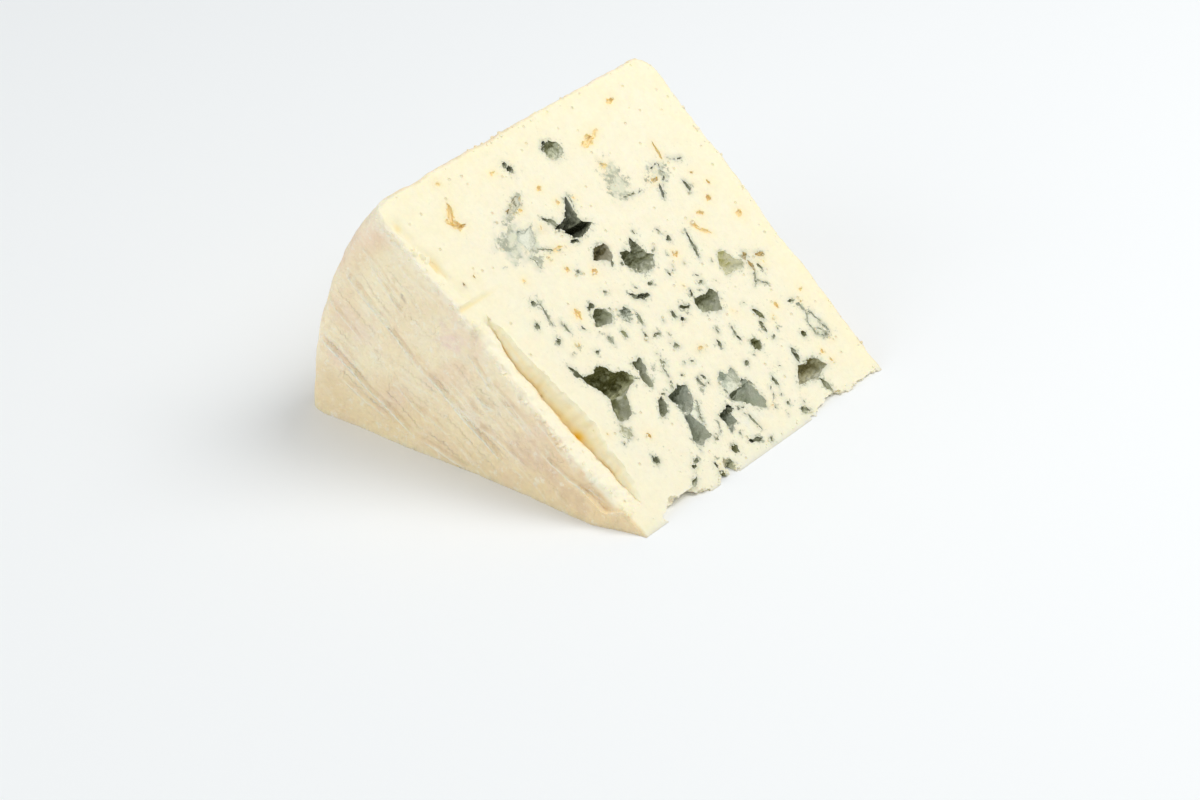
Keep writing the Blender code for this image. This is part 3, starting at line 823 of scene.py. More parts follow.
def pocket_points(pocket, seed):
    corners = np.array(pocket.outline)
    around = np.linalg.norm(corners - np.roll(corners, 1, axis=0), axis=1).sum()
    directions = ball_points(5 if around > LONG_OUTLINE else 4)
    middle = np.mean(pocket.outline, axis=0)
    turn = np.arctan2(directions[:, 1], directions[:, 0])
    waist = np.hypot(directions[:, 0], directions[:, 1])
    reach = reach_of(pocket.outline, middle, turn)
    below = np.clip(-directions[:, 2], 0, 1)
    dents = ridged(directions, seed)
    teeth = noise_at(directions, RIM_TEETH, seed + 5) + 0.8 * noise_at(directions, FINE_RIM_TEETH, seed + 6)
    rim = 1 + RIM_RAGGED * teeth
    size = waist * rim * (1 - WALL_BULGES * dents * smooth_step(below / 0.5))
    local = np.stack([size * reach * np.cos(turn), size * reach * np.sin(turn), directions[:, 2]], axis=-1)
    local[:, :2] += middle
    local[:, 2] *= pocket.deep * (1 - WALL_BULGES * dents)
    local[:, 2] -= POCKET_SINK * pocket.deep
    return on_cut_face(local)


def pit_points(pit, seed):
    area = pit.long * pit.wide
    directions = ball_points(4 if area > LARGE_PIT else 3 if area > SMALL_PIT else 2)
    local = directions * (1.25 - PIT_BULGES * ridged(directions, seed))[:, None]
    share = BARE_PIT_DEPTH if pit.mould == "bare" else PIT_DEPTH
    deep = min(pit.deep, share * min(pit.long, pit.wide))
    local *= np.array([pit.long / 2, pit.wide / 2, deep])
    spine = local * np.array([1, 0, 0])
    local[:, 1] *= 1 + SLIT_UNEVEN * noise_at(spine, 0.3 * pit.long, seed + 3)
    local[:, 1] += SLIT_BEND * pit.long * noise_at(spine, 0.45 * pit.long, seed + 4)
    turn = math.radians(pit.turn)
    ahead = local[:, 0] * math.cos(turn) - local[:, 1] * math.sin(turn)
    aside = local[:, 0] * math.sin(turn) + local[:, 1] * math.cos(turn)
    return on_cut_face(np.stack([pit.along + ahead, pit.out + aside, local[:, 2] - 0.1 * deep], axis=-1))


def add_cutter(name, points, mould):
    """A copy of the ball with as many points, moved to these places, with the mould as its material."""
    ball = next(ball for ball in balls.values() if len(ball.data.vertices) == len(points))
    cutter = ball.copy()
    cutter.data = ball.data.copy()
    cutter.name = name
    bpy.context.scene.collection.objects.link(cutter)
    cutter.data.vertices.foreach_set("co", points.ravel())
    for slot in SLOTS:
        cutter.data.materials.append(finishes[slot])
    cutter.data.polygons.foreach_set("material_index", [SLOTS.index(mould)] * len(cutter.data.polygons))
    cutter.data.update()
    return cutter


finishes = {name: bpy.data.materials.new(f"cheese_{name}") for name in SLOTS}
for finish in finishes.values():
    slice_.data.materials.append(finish)

cutters = [add_cutter(f"pocket_{n}", pocket_points(pocket, 10 * n), pocket.mould)
           for n, pocket in enumerate(POCKETS, start=1)]
cutters += [add_cutter(f"pit_{n}", pit_points(pit, 3 * n), pit.mould) for n, pit in enumerate(PITS, start=1)]
print(len(cutters), "cutters")

# %% [markdown]
# ## The veins, the flecks and the broken tip edge
# Each vein becomes a row of short slits along its drawn path, a little uneven, and each break a dented ball
# that takes paste away under the tip edge. The flecks and the small gaps along that edge are scattered by a
# random generator with a fixed seed. The flecks lie where the mould is thickest, in the middle of the face,
# and lean the same way, because the curds were squashed as the wheel settled.

# %% The veins, the flecks and the broken tip edge
MARBLED_PLACE = (52, 27)
MARBLED_REACH = 34
FLECK_LEAN = 105
FLECK_DEPTH = 0.6
VEIN_DEPTH = 0.9

chance = np.random.default_rng(7)


def vein_pits(mould, wide, path):
    """Slits laid along a path, each turned along it."""
    pits = []
    for start, end in zip(path, path[1:]):
        run = np.array(end) - start
        length = np.linalg.norm(run)
        count = max(1, round(length / VEIN_SLIT))
        for n in range(count):
            place = np.array(start) + run * (n + 0.5) / count + chance.normal(0, 0.18, 2)
            turn = math.degrees(math.atan2(run[1], run[0])) + chance.normal(0, 12)
            long = length / count * chance.uniform(0.75, 1.35)
            slit_wide = wide * chance.uniform(0.6, 1.3)
            pits.append(Pit(mould, *place, long, slit_wide, turn, VEIN_DEPTH))
    return pits


def fleck_pits(count):
    """Small holes, thickest in the middle of the marbled zone."""
    pits = []
    while len(pits) < count:
        along, out = chance.uniform(8, 96), chance.uniform(1.5, 93)
        away = [(along - MARBLED_PLACE[0]) / MARBLED_REACH, (out - MARBLED_PLACE[1]) / MARBLED_REACH]
        middle = math.exp(-away[0] ** 2 - away[1] ** 2)
        if chance.uniform() > middle + 0.05:
            continue
        mould = "bare" if middle < 0.3 or chance.uniform() < 0.07 else "fleck"
        long = 0.45 + 1.1 * chance.uniform() ** 2
        wide = long * chance.uniform(0.35, 0.8)
        pits.append(Pit(mould, along, out, long, wide, chance.normal(FLECK_LEAN, 35), FLECK_DEPTH))
    return pits


def break_points(gap, seed, fineness=4):
    """A gap under the tip edge, where the paste is gone. Its place is given in the slice's own frame."""
    directions = ball_points(fineness)
    size = np.array([gap.long / 2, gap.back / 2, gap.high / 2])
    place = np.array([gap.along, gap.out, gap.up])
    return (directions * (1.25 - 0.5 * ridged(directions, seed))[:, None] * size + place) * MM


def tip_crumbs(count):
    gaps = []
    for n in range(count):
        zone = TIP_CRUMB_ZONES[n % len(TIP_CRUMB_ZONES)]
        size = chance.uniform(0.8, 2.2)
        along, up = chance.uniform(*zone), chance.uniform(-0.1, 0.5)
        gaps.append(Break(along, 0.1, up, size, size * 1.2, size * 0.7))
    return gaps


small = [pit for vein in VEINS for pit in vein_pits(*vein)] + fleck_pits(FLECKS)
cutters += [add_cutter(f"fleck_{n}", pit_points(pit, 400 + n), pit.mould) for n, pit in enumerate(small)]
cutters += [add_cutter(f"break_{n}", break_points(gap, 900 + n), "paste") for n, gap in enumerate(BREAKS)]
cutters += [add_cutter(f"crumb_{n}", break_points(gap, 950 + n, 2), "paste")
            for n, gap in enumerate(tip_crumbs(TIP_CRUMBS))]
print(len(cutters), "cutters with the scattered ones")

# %% [markdown]
# ## The split beside the rind
# The split has two sides: a bank that bulges up from the rind and dives into the crack, and the torn wall
# of the flap. Relief on the skin would blur both edges, so it is cut out as well. A grid is bent round into
# a tube whose section is the empty space above the bank and the wall, and its ends are closed. The lip,
# where the rind turns over into the bank, is rounded, and both walls are lumpy and torn, as the paste is
# there. At both ends the section rises out of the cheese, so the split runs out by itself.

# %% The split beside the rind
SPLIT_DEPTH_AT = ((3, -1.6), (6, -0.6), (9, 0.9), (14, 2.2), (22, 3.1), (28, 4.2), (33, 3.5), (45, 3.1),
                  (54, 2.5), (60, 1.3), (64, -0.6), (66, -1.6))
LIP_DROP_AT = ((3, -1.6), (7, -0.5), (11, 0.55), (40, 0.75), (58, 0.6), (64, -0.5), (66, -1.6))
LIP_AT = ((3, 3.2), (8, 3.0), (14, 2.5), (21, 0.4), (28, -1.0), (45, -1.1), (59, -0.4), (65, -2.8),
          (74, -1.7), (82, -2.4), (90, -4.1), (96, -4.8))
LIP_ROUNDING = 1.7
LIP_FADE = 0.9
BANK_CURVE = 2.2
WALL_BULGE = 0.5
WALL_ABOVE = 0.3
CLEAR_OF_CHEESE = 9.0
CLEAR_ABOVE = 6.0
STATIONS = 150
BANK_POINTS = 14
WALL_POINTS = 9


def split_section(out):
    """The section across the split, so far out: along the axis and above the cut face, in millimetres."""
    split, flap, deep, drop, lip = [float(np.interp(out, *zip(*marks)))
                                    for marks in (SPLIT_AT, FLAP_AT, SPLIT_DEPTH_AT, LIP_DROP_AT, LIP_AT)]
    wander = 0.45 * noise.noise(Vector((out / 5, 0.3, 0))) + 0.3 * noise.noise(Vector((out / 1.7, 5.3, 0)))
    section = [(-CLEAR_OF_CHEESE, CLEAR_ABOVE), (-CLEAR_OF_CHEESE, -drop - 2 * LIP_ROUNDING)]
    start = lip - 0.6
    for n in range(BANK_POINTS):
        t = n / BANK_POINTS
        lumpy = 0.55 * noise.noise(Vector((out / 2.6, 2.5 * t, 9.1)))
        rough = lumpy + 0.42 * noise.noise(Vector((out / 1.1, 6 * t, 2.2)))
        past = start + (split + wander - start) * t
        rounded = LIP_ROUNDING * math.exp(-(past - lip) / LIP_FADE) * smooth_step(drop + 0.5)
        section.append((past, -drop - rounded - (deep - drop) * t ** BANK_CURVE + rough * min(1, 4 * t)))
    for n in range(WALL_POINTS + 1):
        t = n / WALL_POINTS
        torn = 0.55 * noise.noise(Vector((out / 1.5, 2.5 * t, 4.4))) + 0.5 * wander
        torn += 0.35 * noise.noise(Vector((out / 0.85, 2 * t, 6.7)))
        bulge = -WALL_BULGE * math.sin(math.pi * t)
        past = split + wander + (flap - split) * t + t * torn + bulge
        section.append((past, -deep + (deep + WALL_ABOVE) * t))
    return section + [(past + 0.4, 1.6), (past + 1.4, CLEAR_ABOVE)]


def split_cutter():
    outs = np.linspace(SPLIT_AT[0][0], SPLIT_AT[-1][0], STATIONS)
    rows = [split_section(out) for out in outs]
    columns = len(rows[0])
    bpy.ops.object.select_all(action="DESELECT")
    bpy.ops.mesh.primitive_grid_add(x_subdivisions=columns, y_subdivisions=STATIONS - 1, size=1)
    tube = bpy.context.object
    tube.name = "split_tool"
    local = []
    for row, out in zip(rows, outs):
        for past, above in row + row[:1]:
            local.append((past, out, above))
    tube.data.vertices.foreach_set("co", on_cut_face(np.array(local)).ravel())
    tube.data.update()
    edit(tube)
    bpy.ops.mesh.select_all(action="SELECT")
    bpy.ops.mesh.remove_doubles(threshold=0.001 * MM)
    bpy.ops.mesh.select_all(action="DESELECT")
    bpy.ops.mesh.select_mode(type="EDGE")
    bpy.ops.mesh.select_non_manifold(extend=False)
    bpy.ops.mesh.fill_holes(sides=0)
    bpy.ops.mesh.select_all(action="SELECT")
    bpy.ops.mesh.normals_make_consistent(inside=False)
    bpy.ops.object.mode_set(mode="OBJECT")
    for slot in SLOTS:
        tube.data.materials.append(finishes[slot])
    return tube


cutters.append(split_cutter())
print("the split's tool has", len(cutters[-1].data.polygons), "faces")

# %% [markdown]
# ## Cutting the voids
# A Boolean takes each void out of the slice. One at a time would be slow, and cutters that overlap can't
# share one mesh safely, so they are dealt out into groups in which none touches another. Each group is
# joined and cut in one go. The cut walls keep the cutter's material, which is how the mould gets onto them.
# The same function adds paste where there is too little, which the next cells need.

# %% Cutting the voids
SPACE_BETWEEN = 0.02 * MM


def dealt_out(cutters):
    """Groups of cutters. Inside one group no two boxes touch."""
    groups = []
    for cutter in cutters:
        spots = points_of(cutter.data)
        box = spots.min(axis=0) - SPACE_BETWEEN, spots.max(axis=0) + SPACE_BETWEEN
        for group in groups:
            if all((box[0] > other[1]).any() or (box[1] < other[0]).any() for _, other in group):
                group.append((cutter, box))
                break
        else:
            groups.append([(cutter, box)])
    return [[cutter for cutter, box in group] for group in groups]


def joined(objects, name):
    bpy.ops.object.select_all(action="DESELECT")
    for obj in objects:
        obj.select_set(True)
    bpy.context.view_layer.objects.active = objects[0]
    bpy.ops.object.join()
    bpy.context.object.name = name
    return bpy.context.object


def combine(tools, operation):
    """Takes the tools out of the slice, or adds them to it, one group after the other."""
    groups = dealt_out(tools)
    for group in groups:
        tool = joined(group, "tool")
        boolean = slice_.modifiers.new("Tool", "BOOLEAN")
        boolean.operation = operation
        boolean.solver = "MANIFOLD"
        boolean.object = tool
        apply_all(slice_)
        bpy.data.objects.remove(tool, do_unlink=True)
    print(operation.lower(), "in", len(groups), "groups;", len(slice_.data.polygons), "faces")


combine(cutters, "DIFFERENCE")

# %% [markdown]
# ## Crumbled rims
# The Boolean leaves its rims cleaner than a knife would, because a knife drags crumbs with it. A displace
# modifier could roughen them, but it would roughen the walls and the face as well. So the points near a
# pocket's rim are found by their distance from it, and only they are nudged by fine noise, which breaks the
# rim up.

# %% Crumbled rims
RIM_REACH = 1.1 * MM
RIM_NUDGE = 0.24 * MM
RIM_NUDGE_SIZE = 0.9 * MM
JUST_OFF_FLOOR = 0.05 * MM

paste_slots = [SLOTS.index("paste")]
bare_slots = [SLOTS.index("bare")]
mould_slots = [SLOTS.index(mould) for mould in MOULDS]


def tree_of(spots):
    tree = kdtree.KDTree(len(spots))
    for n, spot in enumerate(spots):
        tree.insert(spot, n)
    tree.balance()
    return tree


def how_far(tree, spots):
    """How far each spot is from the nearest point in the tree."""
    return np.array([tree.find(spot)[2] for spot in spots])


def point_marks(mesh, slots):
    """True for each point that a face of one of these material slots uses."""
    slot = np.empty(len(mesh.polygons), dtype=int)
    sides = np.empty(len(mesh.polygons), dtype=int)
    corners = np.empty(len(mesh.loops), dtype=int)
    mesh.polygons.foreach_get("material_index", slot)
    mesh.polygons.foreach_get("loop_total", sides)
    mesh.loops.foreach_get("vertex_index", corners)
    marks = np.zeros(len(mesh.vertices), dtype=bool)
    marks[corners[np.isin(np.repeat(slot, sides), slots)]] = True
    return marks


def rim_marks(mesh, slots):
    """True for each point where the paste meets one of these material slots."""
    return point_marks(mesh, paste_slots) & point_marks(mesh, slots)


spots = points_of(slice_.data)
rims = spots[rim_marks(slice_.data, bare_slots + mould_slots)]
near_rims = 1 - smooth_step(how_far(tree_of(rims), spots) / RIM_REACH)
near_rims *= spots[:, 2] > JUST_OFF_FLOOR
nudge = [noise_at(spots, RIM_NUDGE_SIZE, 71 + n) for n in range(3)]
spots += RIM_NUDGE * near_rims[:, None] * np.stack(nudge, axis=-1)
spots[:, 2] = np.maximum(spots[:, 2], 0)
slice_.data.vertices.foreach_set("co", spots.ravel())
slice_.data.update()
print(len(rims), "points on the rims")

# %% [markdown]
# ## Crumbs
# Crumbs of paste cling to the rims of the pockets, to the tip edge, to the lip of the split and to the
# borders of the cut face. A particle system could scatter them, but they would stay loose shells, and light
# that soaks into the cheese would stop at each one. So every crumb is a small dented ball, stretched at
# random and half sunk into the surface, and a Boolean makes it one skin with the slice.

# %% Crumbs
RIM_CRUMBS = 170
EDGE_CRUMBS = 60
LIP_CRUMBS = 90
BORDER_CRUMBS = 70
RIM_CRUMB_SIZES = (0.35, 1.0)
EDGE_CRUMB_SIZES = (0.4, 1.2)
LIP_CRUMB_SIZES = (0.8, 2.7)
LIP_HEIGHT = -0.6
LIP_CRUMB_SINK = 0.2
BY_BORDER = 1.5 * MM


def add_crumb(name, place, size, seed):
    """A dented ball of paste with its middle at this place."""
    dents = 1.1 - 0.55 * ridged(ball_points(1), seed)
    turned = ball_points(1) * dents[:, None] * chance.uniform(0.6, 1.3, 3) * size / 2
    return add_cutter(name, turned + place, "paste")


def rim_crumb(n):
    place = chance.choice(cut_rims) + chance.normal(0, 0.2, 3) * MM
    return add_crumb(f"rim_crumb_{n}", place, chance.uniform(*RIM_CRUMB_SIZES) * MM, 1200 + n)


def edge_crumb(name, places, seed):
    return add_crumb(name, chance.choice(places), chance.uniform(*EDGE_CRUMB_SIZES) * MM, seed)


def lip_crumb(n):
    """A crumb on the lip of the split, sunk a little into the rind and the bank."""
    out_here = chance.uniform(6, 95)
    by_lip = (np.interp(out_here, *zip(*LIP_AT)) + chance.normal(0.5, 0.6), out_here, LIP_HEIGHT)
    on_surface = surface.find(on_cut_face(np.array([by_lip]))[0])[0]
    size = chance.uniform(*LIP_CRUMB_SIZES) * MM
    sunk = np.array(on_surface) + LIP_CRUMB_SINK * size * (np.array([1, 0, 0]) - cut_normal)
    return add_crumb(f"lip_crumb_{n}", sunk, size, 1600 + n)


surface = tree_of(spots)
cut_rims = rims[-(rims @ cut_normal) < 0.5 * MM]
tip_points = spots[(spots[:, 1] < 1.5 * MM) & (spots[:, 2] > 0.3 * MM) & (spots[:, 0] > 11 * MM)]
far_borders = (WHEEL_HEIGHT - along < BY_BORDER) | (WHEEL_RADIUS - radius < BY_BORDER)
border_points = shaped[(near_cut > 0.97) & (points[:, 1] > 4 * MM) & far_borders]

crumbs = [rim_crumb(n) for n in range(RIM_CRUMBS)]
crumbs += [edge_crumb(f"edge_crumb_{n}", tip_points, 1500 + n) for n in range(EDGE_CRUMBS)]
crumbs += [lip_crumb(n) for n in range(LIP_CRUMBS)]
crumbs += [edge_crumb(f"border_crumb_{n}", border_points, 1800 + n) for n in range(BORDER_CRUMBS)]
combine(crumbs, "UNION")
for ball in balls.values():
    bpy.data.objects.remove(ball, do_unlink=True)
print(len(crumbs), "crumbs laid on")

# %% [markdown]
# ## Wider faces on the plain sides
# The far rind and the round rim have no pockets, so they need no face as small as those of the cut face. A
# Decimate modifier, held to those sides by a vertex group, joins their small faces into wider ones. Its
# ratio counts all of the slice's faces, so it is worked out from how many of them lie on the plain sides.

# %% Wider faces on the plain sides
PLAIN_BELOW = 5 * MM
PLAIN_ABOVE = 1.5 * MM
PLAIN_KEEP = 0.3


def triangles_in(faces):
    return sum(len(face.vertices) - 2 for face in faces)


plain = slice_.vertex_groups.new(name="plain")
now = points_of(slice_.data)
is_plain = (-(now @ cut_normal) > PLAIN_BELOW) & (now[:, 0] > PLAIN_BELOW) & (now[:, 1] > PLAIN_BELOW)
is_plain &= now[:, 2] > PLAIN_ABOVE
plain.add([int(n) for n in np.flatnonzero(is_plain)], 1.0, "REPLACE")
triangles = triangles_in(slice_.data.polygons)
plain_triangles = triangles_in(face for face in slice_.data.polygons if is_plain[list(face.vertices)].all())
fewer = slice_.modifiers.new("Fewer", "DECIMATE")
fewer.ratio = 1 - (1 - PLAIN_KEEP) * plain_triangles / triangles
fewer.vertex_group = plain.name
apply_all(slice_)
print(plain_triangles, "of", triangles, "triangles were plain;", len(slice_.data.polygons), "faces left")

# %% [markdown]
# ## What the knife laid open
# Paste is not one colour. It is whiter in the middle, where the mould works, and yellower towards the rind,
# where it dries. So the colour will be painted point by point, as with a soft brush. A picture on a UV map
# could carry it too, but paint that sits on the points needs no seams and is as fine as the mesh. First
# come the masks, which say where something is: how deep a point lies under the rind, how far it is from a
# crease, and how far from mould or from a bare pit. To know which side of the wheel a point belongs to, the
# nearest point of the skin is asked.

# %% What the knife laid open
RIND_FROM = 0.3 * MM
RIND_THICKNESS = 0.5 * MM


def rounded_depth(along, radius):
    """How deep a point lies under the outside of the whole wheel, with its rounded rims."""
    to_end = np.minimum(along, WHEEL_HEIGHT - along)
    to_rim = WHEEL_RADIUS - radius
    corner = np.hypot(np.maximum(RIM_ROUNDING - to_end, 0), np.maximum(RIM_ROUNDING - to_rim, 0))
    in_corner = (to_end < RIM_ROUNDING) & (to_rim < RIM_ROUNDING)
    return np.where(in_corner, RIM_ROUNDING - corner, np.minimum(to_end, to_rim))


def strongest_creases():
    """For each point of the skin, how far it lies across a crease, and how strong the crease is there."""
    all_across, all_strength = np.full(len(points), FAR_OFF), np.zeros(len(points))
    sides = (
        (near_shown, points[:, 1], points[:, 2]),
        (near_hidden, points[:, 1], below_top),
        (near_rim, along, round_rim),
    )
    for near, first, second in sides:
        across, strength = crease_marks(first + wander, second + wander)
        stronger = near * strength > all_strength
        all_across[stronger] = across[stronger]
        all_strength[stronger] = (near * strength)[stronger]
    return all_across, all_strength


carved = points_of(slice_.data)
skin_tree = tree_of(shaped)
nearest = np.array([skin_tree.find(spot)[1] for spot in carved])
below_rind = rounded_depth(along, radius)[nearest]
on_rind = 1 - smooth_step((below_rind - RIND_FROM) / RIND_THICKNESS)
across_crease, crease_strength = (values[nearest] for values in strongest_creases())
from_mould = how_far(tree_of(carved[rim_marks(slice_.data, mould_slots)]), carved)
from_bare = how_far(tree_of(carved[rim_marks(slice_.data, bare_slots)]), carved)
print("marks made for", len(carved), "points")

# %% [markdown]
# ## Painting the paste
# The paint goes on from the widest tone to the smallest mark: the paste with its yellow outer band, the
# blurred stains where a pocket lies just under the surface, the mould's shadow round the pockets, and the
# dry yellow of the pits that no mould has reached. Each colour is laid over the last one by a share, as
# glazes are, so that no border between two of them is hard. The stains are drawn one by one, like the
# pockets, with their edges left ragged.

# %% Painting the paste
PASTE = (249, 239, 209)
OUTER_PASTE = (253, 240, 202)
PALE_PASTE = (252, 244, 218)
MOULD_BLOOM = (224, 228, 208)
MOULD_SHADOW = (150, 156, 134)
DRY_RIM = (252, 232, 180)
DRY_PASTE = (255, 229, 168)
OUTER_BAND = 17 * MM
BLOOM_REACH = 2.2 * MM
HALO_REACH = 0.75 * MM
DRY_REACH = 1.0 * MM
STRONG_STAIN = 0.55
STAIN_REACH = 0.9 * MM

Stain = namedtuple("Stain", "along out long wide turn colour share")
STAINS = (
    Stain(26, 73.5, 14, 9, 20, (176, 186, 180), 0.75),
    Stain(29, 72, 4, 3.5, 0, (150, 164, 172), 0.6),
    Stain(28, 67, 5, 6, 0, (196, 200, 182), 0.6),
    Stain(32, 80.5, 9, 3.5, 25, (190, 180, 150), 0.6),
    Stain(36.5, 73, 5, 4, 0, (206, 208, 192), 0.5),
    Stain(34, 67.5, 6, 2, 0, (214, 214, 190), 0.5),
    Stain(64.5, 74, 9, 12, -20, (208, 204, 176), 0.75),
    Stain(77, 70, 11, 5, 10, (222, 216, 186), 0.58),
    Stain(83, 63, 2.5, 4, 0, (206, 210, 206), 0.6),
    Stain(86, 70, 5, 3, 0, (228, 222, 196), 0.5),
    Stain(48, 75, 4, 5, 30, (206, 208, 190), 0.5),
    Stain(46.5, 58, 5, 2.5, 0, (214, 208, 192), 0.5),
    Stain(18, 22.5, 4, 4, 0, (206, 210, 188), 0.7),
    Stain(37.5, 18, 9, 18, 0, (226, 230, 218), 0.5),
    Stain(55, 13, 13, 14, 0, (224, 228, 216), 0.5),
    Stain(79, 10, 15, 9, 0, (224, 226, 206), 0.5),
    Stain(86, 39, 8, 7, 0, (230, 222, 186), 0.5),
    Stain(90, 18, 5, 8, 0, (224, 224, 204), 0.5),
    Stain(65, 37, 10, 9, 0, (228, 230, 214), 0.4),
    Stain(54.5, 55, 12, 12, 0, (232, 234, 218), 0.4),
    Stain(17, 94.5, 3, 3, 0, (232, 214, 188), 0.5),
)


def tone(red, green, blue):
    """A screen colour from 0 to 255 as the linear colour that a shader takes."""
    values = np.array([red, green, blue]) / 255
    return np.where(values <= 0.04045, values / 12.92, ((values + 0.055) / 1.055) ** 2.4)


def lay_over(paint, colour, share):
    """Lays a screen colour over the paint, by its share at each point."""
    return paint + (tone(*colour) - paint) * np.clip(share, 0, 1)[:, None]


def inside(stain, across, up):
    """1 inside a stain and 0 outside, with a ragged edge."""
    away = np.stack([across - stain.along * MM, up - stain.out * MM], axis=-1)
    turn = math.radians(stain.turn)
    ahead = away @ np.array([math.cos(turn), math.sin(turn)]) / (stain.long / 2 * MM)
    aside = away @ np.array([-math.sin(turn), math.cos(turn)]) / (stain.wide / 2 * MM)
    return smooth_step(1.35 - np.hypot(ahead, aside) + 0.55 * mid_noise + 0.35 * fine_noise)


along_now = carved[:, 0]
out_now = carved @ cut_out
below_cut = -(carved @ cut_normal)
on_cut = smooth_step((3 * MM - below_cut) / MM) * (1 - on_rind)
soft_noise = noise_at(carved, 7 * MM, 51)
mid_noise = noise_at(carved, 3.2 * MM, 52)
fine_noise = noise_at(carved, 1.5 * MM, 53)

paint = np.tile(tone(*PASTE), (len(carved), 1))
outer = 1 - smooth_step((below_rind + 3 * MM * soft_noise) / OUTER_BAND)
paint = lay_over(paint, OUTER_PASTE, 0.8 * outer)
paint = lay_over(paint, PALE_PASTE, 0.25 + 0.35 * mid_noise)

stained = np.zeros(len(carved))
for stain in STAINS:
    share = stain.share * inside(stain, along_now, out_now) * on_cut
    paint = lay_over(paint, stain.colour, 0.7 * share * (0.75 + 0.5 * fine_noise))
    if stain.share > STRONG_STAIN:
        stained = np.maximum(stained, share)
stained = np.maximum(stained, 0.5 * np.exp(-from_mould / STAIN_REACH) * (1 + 0.7 * mid_noise))

halo = bump(from_mould, HALO_REACH)
in_bare = point_marks(slice_.data, bare_slots) * smooth_step(below_cut / (0.6 * MM) + 0.3)
paint = lay_over(paint, MOULD_BLOOM, 0.3 * np.exp(-from_mould / BLOOM_REACH) * (0.8 + 0.6 * mid_noise))
paint = lay_over(paint, MOULD_SHADOW, 0.4 * halo * (0.45 + 0.8 * fine_noise))
paint = lay_over(paint, DRY_RIM, 0.5 * np.exp(-from_bare / DRY_REACH))
paint = lay_over(paint, DRY_PASTE, 0.85 * in_bare)
print("painted", round(float(on_cut.mean()) * 100), "per cent of the points as cut face")

# %% [markdown]
# ## Painting the split
# The split is the deepest yellow: pale on its bank, warmer on the torn wall, and nearly orange at the one
# place where the crack is deepest. It opened some time before the slice was cut, so its paste has dried
# yellow, and the warmer wall and the orange crack are also painted glow, for the light that comes through
# the thin paste into the crack. The small step and the ditch along the rind are yellow because they dried
# too. The same pencil marks that cut the split say where its colours go, so the two can't drift apart.

# %% Painting the split
BANK_PASTE = (252, 243, 218)
WALL_PASTE_AND_GLOW = (255, 234, 184)
CRACK_PASTE_AND_GLOW = (244, 212, 138)
CRACK_EYE_PASTE_AND_GLOW = (252, 206, 62)
STEP_PASTE = (250, 228, 162)
DITCH_PASTE = (252, 220, 140)
CRACK_WIDTH = 0.8 * MM
EYE_PLACE = 28 * MM
EYE_LENGTH = 1.2 * MM

in_split = between(out_now, 6 * MM, 66 * MM, 8 * MM, 8 * MM)
past_split = along_now - marked(out_now, SPLIT_AT)
before_flap = smooth_step((marked(out_now, FLAP_AT) - along_now) / MM + 1)
bank = in_split * before_flap * smooth_step((below_cut - 0.2 * MM) / (0.8 * MM))
wall = in_split * before_flap * smooth_step((below_cut - 0.2 * MM) / (0.5 * MM))
wall *= smooth_step(past_split / MM + 0.3)
in_crack = bump(past_split - 0.3 * MM, CRACK_WIDTH) * smooth_step((below_cut - 1.3 * MM) / (1.6 * MM))
paint = lay_over(paint, BANK_PASTE, 0.8 * bank * (1 - on_rind))
# Paste colour and painted glow: the torn wall is painted a warmer yellow.
paint = lay_over(paint, WALL_PASTE_AND_GLOW, 0.7 * wall * (0.9 + 0.3 * mid_noise))
# Painted glow deep in the crack, on the paste's own yellow, and orange at its deepest place.
paint = lay_over(paint, CRACK_PASTE_AND_GLOW, 0.75 * in_split * in_crack * (0.85 + 0.4 * mid_noise))
paint = lay_over(paint, CRACK_EYE_PASTE_AND_GLOW, 1.1 * in_crack * bump(out_now - EYE_PLACE, EYE_LENGTH))

step_line = bump(out_now - STEP_PLACE + 0.2 * MM, 0.45 * MM) * (1 - smooth_step(along_now / STEP_REACH))
in_ditch = between(out_now, DITCH_FROM, DITCH_TO, 3 * MM, 4 * MM)
in_ditch *= smooth_step((below_cut - 0.15 * MM) / (0.5 * MM)) * smooth_step((5 * MM - along_now) / (2 * MM))
paint = lay_over(paint, STEP_PASTE, 0.7 * step_line * on_cut)
paint = lay_over(paint, DITCH_PASTE, 0.8 * in_ditch)
print("the split takes", int((in_split * before_flap > 0.5).sum()), "points")

# %% [markdown]
# ## Painting the rind
# The rind is a thin skin of mould and dried paste. It is beige, with pinkish and brownish patches, and
# whitest along the lip of the split. Towards the tip edge and the floor it is painted darker, as painted
# shade low down by the floor. A few stains are put where they show. Where the rind is thin the paste is seen
# through it, so the two coats of paint are mixed by how deep a point lies under the outside of the wheel.

# %% Painting the rind
RIND = (254, 238, 204)
BROWNISH = (236, 212, 174)
PINKISH = (244, 216, 198)
WHITISH = (246, 236, 212)
SHADE_TOWARDS_TIP = (236, 208, 168)
SHADE_TOWARDS_FLOOR = (240, 218, 170)
BY_LIP = (252, 243, 220)
SHOWN_HALF = 50 * MM
RIND_STAINS = (
    Stain(53, 34, 8, 6, 0, (242, 212, 206), 0.6),
    Stain(30, 11, 15, 8, 30, (222, 194, 170), 0.6),
    Stain(36, 22, 7, 3, 20, (214, 186, 160), 0.5),
    Stain(19, 5, 12, 5, 25, (218, 190, 160), 0.5),
    Stain(66, 41, 3, 1, 60, (176, 164, 146), 0.8),
    Stain(46, 19, 6, 2.5, 30, (212, 186, 152), 0.5),
    Stain(60, 24, 12, 5, 35, (238, 212, 172), 0.6),
    Stain(44, 14, 2.5, 2, 0, (206, 176, 130), 0.6),
    Stain(83, 30, 16, 9, 40, (242, 222, 202), 0.5),
)

